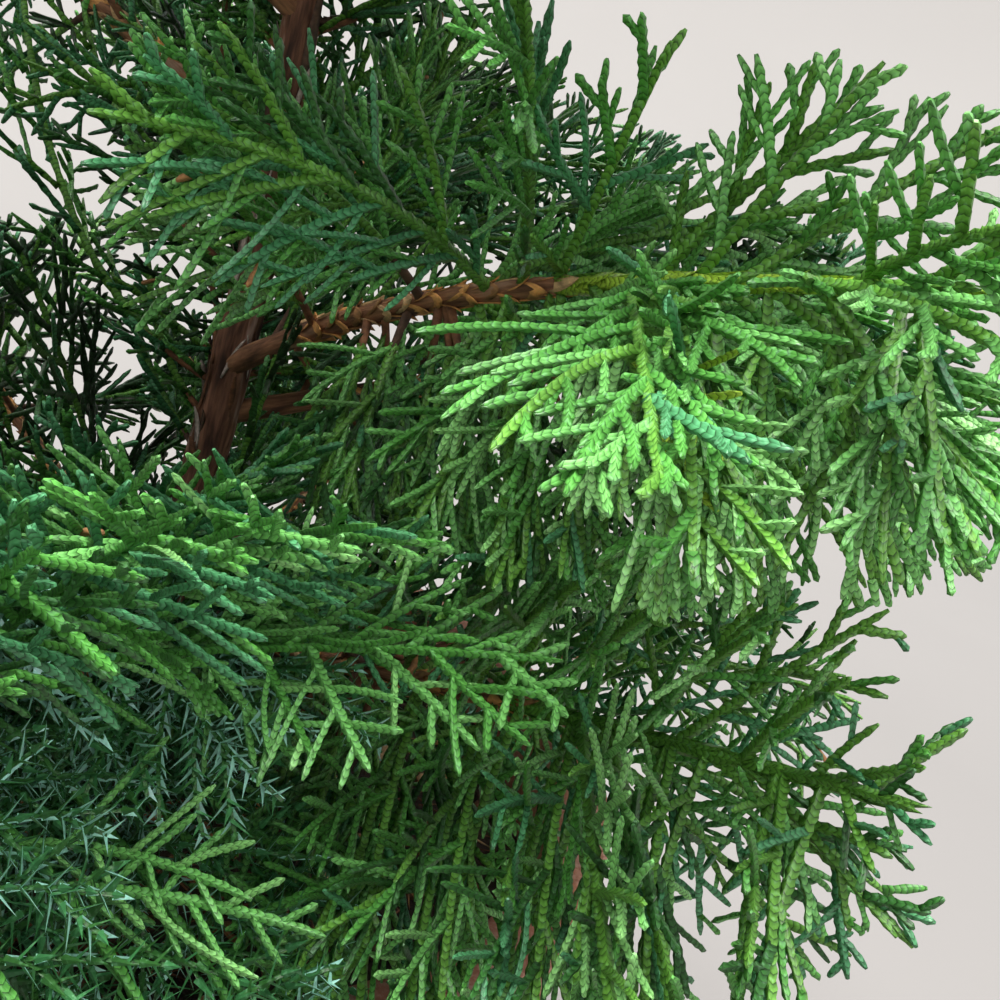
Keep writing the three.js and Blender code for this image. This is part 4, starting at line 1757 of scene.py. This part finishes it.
@dataclass
class Limbs:
    """The trunk and the boughs, with their bark and the flakes that peel off the trunk."""

    palette: Palette
    sprays: list[Spray]
    trunk_step: float = 2.2 * MM
    flakes: int = 150

    def build(self) -> None:
        """Builds the trunk, its flakes and every bough."""
        upright = BarkFinish("trunk bark", False).make()
        lying = BarkFinish(
            "bough bark",
            True,
            red=(0.25, 0.110, 0.054),
            deep=(0.06, 0.028, 0.016),
            warm=(0.41, 0.20, 0.10),
            silver=(0.34, 0.22, 0.15),
        ).make()
        heights = np.arange(-2 * MM, TRUNK_HEIGHT, self.trunk_step)
        radii = trunk_radius(np.maximum(heights, 0))
        trunk = Limb("trunk_bark", trunk_points(heights), radii, sides=56, relief=0.13, seed=4.2)
        trunk.build(upright, "trunk")
        self._peel()
        for spray in self.sprays:
            t = np.linspace(0.0, GREEN_FROM, 44)
            name, seed = f"limb_{spray.number}", spray.index * 3.7
            limb = Limb(name, spray.stem(t), spray.stem_radius(t), sides=12, relief=0.12, seed=seed)
            limb.build(lying, f"bough_{spray.number}")

    def _peel(self) -> None:
        """Adds thin flakes that curl off the trunk."""
        random = np.random.default_rng([SEED, 501])
        shapes = SmallShapes()
        count = self.flakes
        low = random.uniform(4, 560, count) * MM
        length = random.uniform(7, 26, count) * MM
        angle = random.uniform(0, 2 * np.pi, count)
        width = random.uniform(0.5, 1.5, count) * MM
        lift = random.uniform(0.4, 3.2, count) * MM
        share = np.linspace(0, 1, 7)
        height = low[:, None] + share * length[:, None]
        turn = angle[:, None] + share * random.normal(0, 0.35, (count, 1))
        out = trunk_radius(height) * 1.03 + lift[:, None] * share**3
        paths = trunk_points(height) + level_ways(turn) * out[..., None]
        girth = width[:, None] * np.sin(np.pi * (0.12 + 0.8 * share)) ** 0.7
        side = np.stack([-np.sin(angle), np.cos(angle), np.zeros(count)], -1)
        tones = [slot_of(tone) for tone in (Tone.SILVER, Tone.RUST, Tone.TWIG)]
        slots = random.choice(tones, count, p=[0.45, 0.35, 0.2])
        shapes.tubes(paths, girth, side, slots, flat=0.14)
        settle(shapes.make("bark_flakes", self.palette), "bark")


@dataclass
class Pot:
    """The clay pot with its raised band and rounded rim."""

    sides: int = 128
    edge: float = 3 * MM

    def _inner(self, z: float) -> float:
        """The inner radius at a height."""
        return mixed(93 * MM, 132 * MM, (z - POT_FLOOR) / (POT_HEIGHT - POT_FLOOR))

    def _profile(self) -> list[tuple[float, float]]:
        """Radius and height along the wall, up the outside, over the rim and down the inside."""
        under = POT_HEIGHT - POT_BAND_HEIGHT
        neck = mixed(POT_FOOT_RADIUS, POT_RIM_RADIUS - POT_BAND_STEP, under / POT_HEIGHT)
        foot = [(POT_FOOT_RADIUS - self.edge, 0.0), (POT_FOOT_RADIUS - 0.9 * MM, 0.9 * MM)]
        wall = [
            (mixed(POT_FOOT_RADIUS, neck, share), mixed(self.edge, under - 1.5 * MM, share))
            for share in (0, 0.33, 0.66, 1)
        ]
        ledge = POT_RIM_RADIUS - POT_BAND_SLOPE
        band = [(neck + 1.2 * MM, under - 0.4 * MM), (ledge - 1 * MM, under)]
        band += [(ledge, under + 1 * MM), (POT_RIM_RADIUS, POT_HEIGHT - self.edge)]
        inner = self._inner(POT_HEIGHT)
        rim = [(POT_RIM_RADIUS - 0.9 * MM, POT_HEIGHT - 0.9 * MM), (POT_RIM_RADIUS - self.edge, POT_HEIGHT)]
        rim += [(inner + self.edge, POT_HEIGHT), (inner + 0.7 * MM, POT_HEIGHT - 0.9 * MM)]
        heights = (POT_HEIGHT - self.edge, 0.6 * POT_HEIGHT, POT_FLOOR + 4 * MM)
        inside = [(self._inner(z), z) for z in heights]
        return foot + wall + band + rim + inside + [(self._inner(POT_FLOOR) - 4 * MM, POT_FLOOR)]

    def build(self) -> None:
        """Raises the wall from a disc, ring by ring, and closes the underside."""
        profile = self._profile()
        radius, low = profile[0]
        add = bpy.ops.mesh.primitive_circle_add
        disc = {"vertices": self.sides, "radius": radius, "fill_type": "NGON", "location": (0, 0, low)}
        piece = begin("clay_pot", add, **disc)
        for (last, before), (radius, z) in zip(profile, profile[1:]):
            add_ring(z - before, radius / last)
        bpy.ops.mesh.select_all(action="DESELECT")
        bpy.ops.mesh.select_mode(type="EDGE")
        bpy.ops.mesh.select_non_manifold()
        bpy.ops.mesh.edge_face_add()
        bpy.ops.mesh.select_all(action="SELECT")
        bpy.ops.mesh.normals_make_consistent(inside=False)
        bpy.ops.object.mode_set(mode="OBJECT")
        bpy.ops.object.shade_smooth_by_angle(angle=math.radians(40))
        piece.data.materials.append(ClayFinish().make())
        settle(piece, "terracotta", "pot")


@dataclass
class Soil:
    """The soil in the pot, with the litter of chips and dried needles that lies on it."""

    palette: Palette
    radius: float = 129 * MM
    low_radius: float = 93.5 * MM
    bottom: float = 17 * MM
    rings: int = 34
    sides: int = 120
    chips: int = 420
    straws: int = 1300

    def build(self) -> None:
        """Builds the soil and its litter."""
        piece = begin(
            "potting_soil",
            bpy.ops.mesh.primitive_cone_add,
            vertices=self.sides,
            radius1=self.low_radius,
            radius2=self.radius,
            depth=SOIL_Z - self.bottom,
            location=(0, 0, (SOIL_Z + self.bottom) / 2),
        )
        bpy.ops.mesh.select_all(action="DESELECT")
        bpy.ops.object.mode_set(mode="OBJECT")
        for face in piece.data.polygons:
            face.select = face.normal.z > 0.9
        bpy.ops.object.mode_set(mode="EDIT")
        bpy.ops.mesh.select_mode(type="FACE")
        for _ in range(self.rings):
            bpy.ops.mesh.inset(thickness=self.radius / (self.rings + 1))
        bpy.ops.object.mode_set(mode="OBJECT")
        for vertex in piece.data.vertices:
            x, y, z = vertex.co
            if z > SOIL_Z - 1 * MM:
                clod = noise.noise(Vector((x * 90, y * 90, 0.3)))
                crumb = noise.noise(Vector((x * 260, y * 260, 4.1)))
                surface = float(soil_height(np.array(x), np.array(y)))
                vertex.co.z = surface + 1.1 * MM * (clod + 0.6 * crumb)
        dress(piece, SoilFinish().make())
        settle(piece, "soil", "soil")
        self._litter()

    def _litter(self) -> None:
        """Scatters chips and dried needles over the soil."""
        random = np.random.default_rng([SEED, 502])
        shapes = SmallShapes()
        for count, longest, width, flat, lift, shape in (
            (self.chips, 15 * MM, 2.6 * MM, 0.28, 2.0 * MM, (0.45, 0.9, 1.0, 0.85, 0.3)),
            (self.straws, 13 * MM, 0.45 * MM, 1.0, 5.0 * MM, (0.6, 1.0, 0.3)),
        ):
            radial = np.sqrt(random.uniform(0.02, 1, count)) * 120 * MM
            angle = random.uniform(0, 2 * np.pi, count)
            x, y = radial * np.cos(angle), radial * np.sin(angle)
            z = soil_height(x, y) + random.uniform(0.4, 1, count) * lift
            way = random.uniform(0, 2 * np.pi, count)
            pitch = random.normal(0, 0.2, count)
            direction = turned(level_ways(way), UP, pitch)
            length = random.uniform(0.35, 1, count) * longest
            share = np.linspace(-0.5, 0.5, len(shape))
            curl = random.normal(0, 0.12, (count, 1, 1)) * length[:, None, None]
            along = direction[:, None] * (share * length[:, None])[..., None]
            paths = np.stack([x, y, z], -1)[:, None] + along
            paths = paths + curl * (share**2)[None, :, None] * UP
            girth = width * random.uniform(0.4, 1, (count, 1)) * np.array(shape)
            side = np.cross(direction, UP)
            tones = [slot_of(tone) for tone in (Tone.DRIED, Tone.RUST, Tone.TWIG, Tone.TAN)]
            slots = random.choice(tones, count, p=[0.34, 0.34, 0.24, 0.08])
            shapes.tubes(paths, girth, side, slots, flat=flat)
        settle(shapes.make("litter", self.palette), "bark")


@dataclass
class Stage:
    """A plain pale floor with a rising edge, soft light and the close camera."""

    floor_radius: float = 2.4
    sweep: float = 2.6
    sweep_steps: int = 24
    roll: float = math.radians(17.7)
    view: float = math.radians(50.0)
    lamp_size: float = 2.6
    lamp_energy: float = 800.0
    lamp_place: tuple[float, float, float] = (-0.8, -0.4, 4.9)
    lamp_aim: tuple[float, float, float] = (0.05, -0.05, 0.35)
    sky: float = 1.08

    def build(self) -> None:
        """Builds the floor, the lights and the camera."""
        self._floor()
        self._lights()
        self._camera()

    def _floor(self) -> None:
        """A round floor whose edge rises in a smooth sweep, made from the edge inwards."""
        outside = self.floor_radius + self.sweep
        add = bpy.ops.mesh.primitive_circle_add
        floor = begin("floor", add, vertices=96, radius=outside, location=(0, 0, self.sweep))
        steps = self.sweep_steps
        turns = [math.radians(90 - 90 * step / steps) for step in range(steps + 1)]
        for before, after in zip(turns, turns[1:]):
            fall = self.sweep * (math.cos(before) - math.cos(after))
            last = self.floor_radius + self.sweep * math.sin(before)
            radius = self.floor_radius + self.sweep * math.sin(after)
            add_ring(fall, radius / last)
        add_ring(0, 0.9)
        bpy.ops.mesh.edge_face_add()
        bpy.ops.mesh.select_all(action="SELECT")
        bpy.ops.mesh.normals_make_consistent(inside=True)
        bpy.ops.object.mode_set(mode="OBJECT")
        dress(floor, FloorFinish().make())

    def _lights(self) -> None:
        """A pale sky and one broad, soft lamp."""
        world = bpy.data.worlds.new("soft sky")
        world.use_nodes = True
        background = world.node_tree.nodes["Background"]
        background.inputs["Color"].default_value = (0.94, 0.97, 1.0, 1)
        background.inputs["Strength"].default_value = self.sky
        scene = bpy.context.scene
        scene.world = world
        lamp = bpy.data.lights.new("broad lamp", "AREA")
        lamp.size = self.lamp_size
        lamp.energy = self.lamp_energy
        lamp.color = (1.0, 0.98, 0.95)
        holder = bpy.data.objects.new("broad lamp", lamp)
        holder.location = self.lamp_place
        aim = Vector(self.lamp_aim) - holder.location
        holder.rotation_euler = aim.to_track_quat("-Z", "Y").to_euler()
        scene.collection.objects.link(holder)
        scene.view_settings.view_transform = "Standard"

    def _camera(self) -> None:
        """The camera close in front of the lowest boughs, held at a slant."""
        camera = bpy.data.cameras.new("close camera")
        camera.sensor_fit = "HORIZONTAL"
        camera.angle = self.view
        camera.clip_start = 0.01
        holder = bpy.data.objects.new("close camera", camera)
        lean = Matrix.Rotation(math.pi / 2 - NEAR_DOWN, 4, "X")
        holder.matrix_world = Matrix.Translation(NEAR_PLACE) @ lean @ Matrix.Rotation(self.roll, 4, "Z")
        bpy.context.scene.collection.objects.link(holder)
        bpy.context.scene.camera = holder


def main() -> None:
    """Builds every part of the scene in order."""
    logging.basicConfig(level=logging.INFO, format="%(message)s")
    Stage().build()
    palette = Palette()
    Pot().build()
    Soil(palette).build()
    crown = Crown(palette)
    Limbs(palette, crown.sprays).build()
    crown.build()


if __name__ == "__main__":
    main()
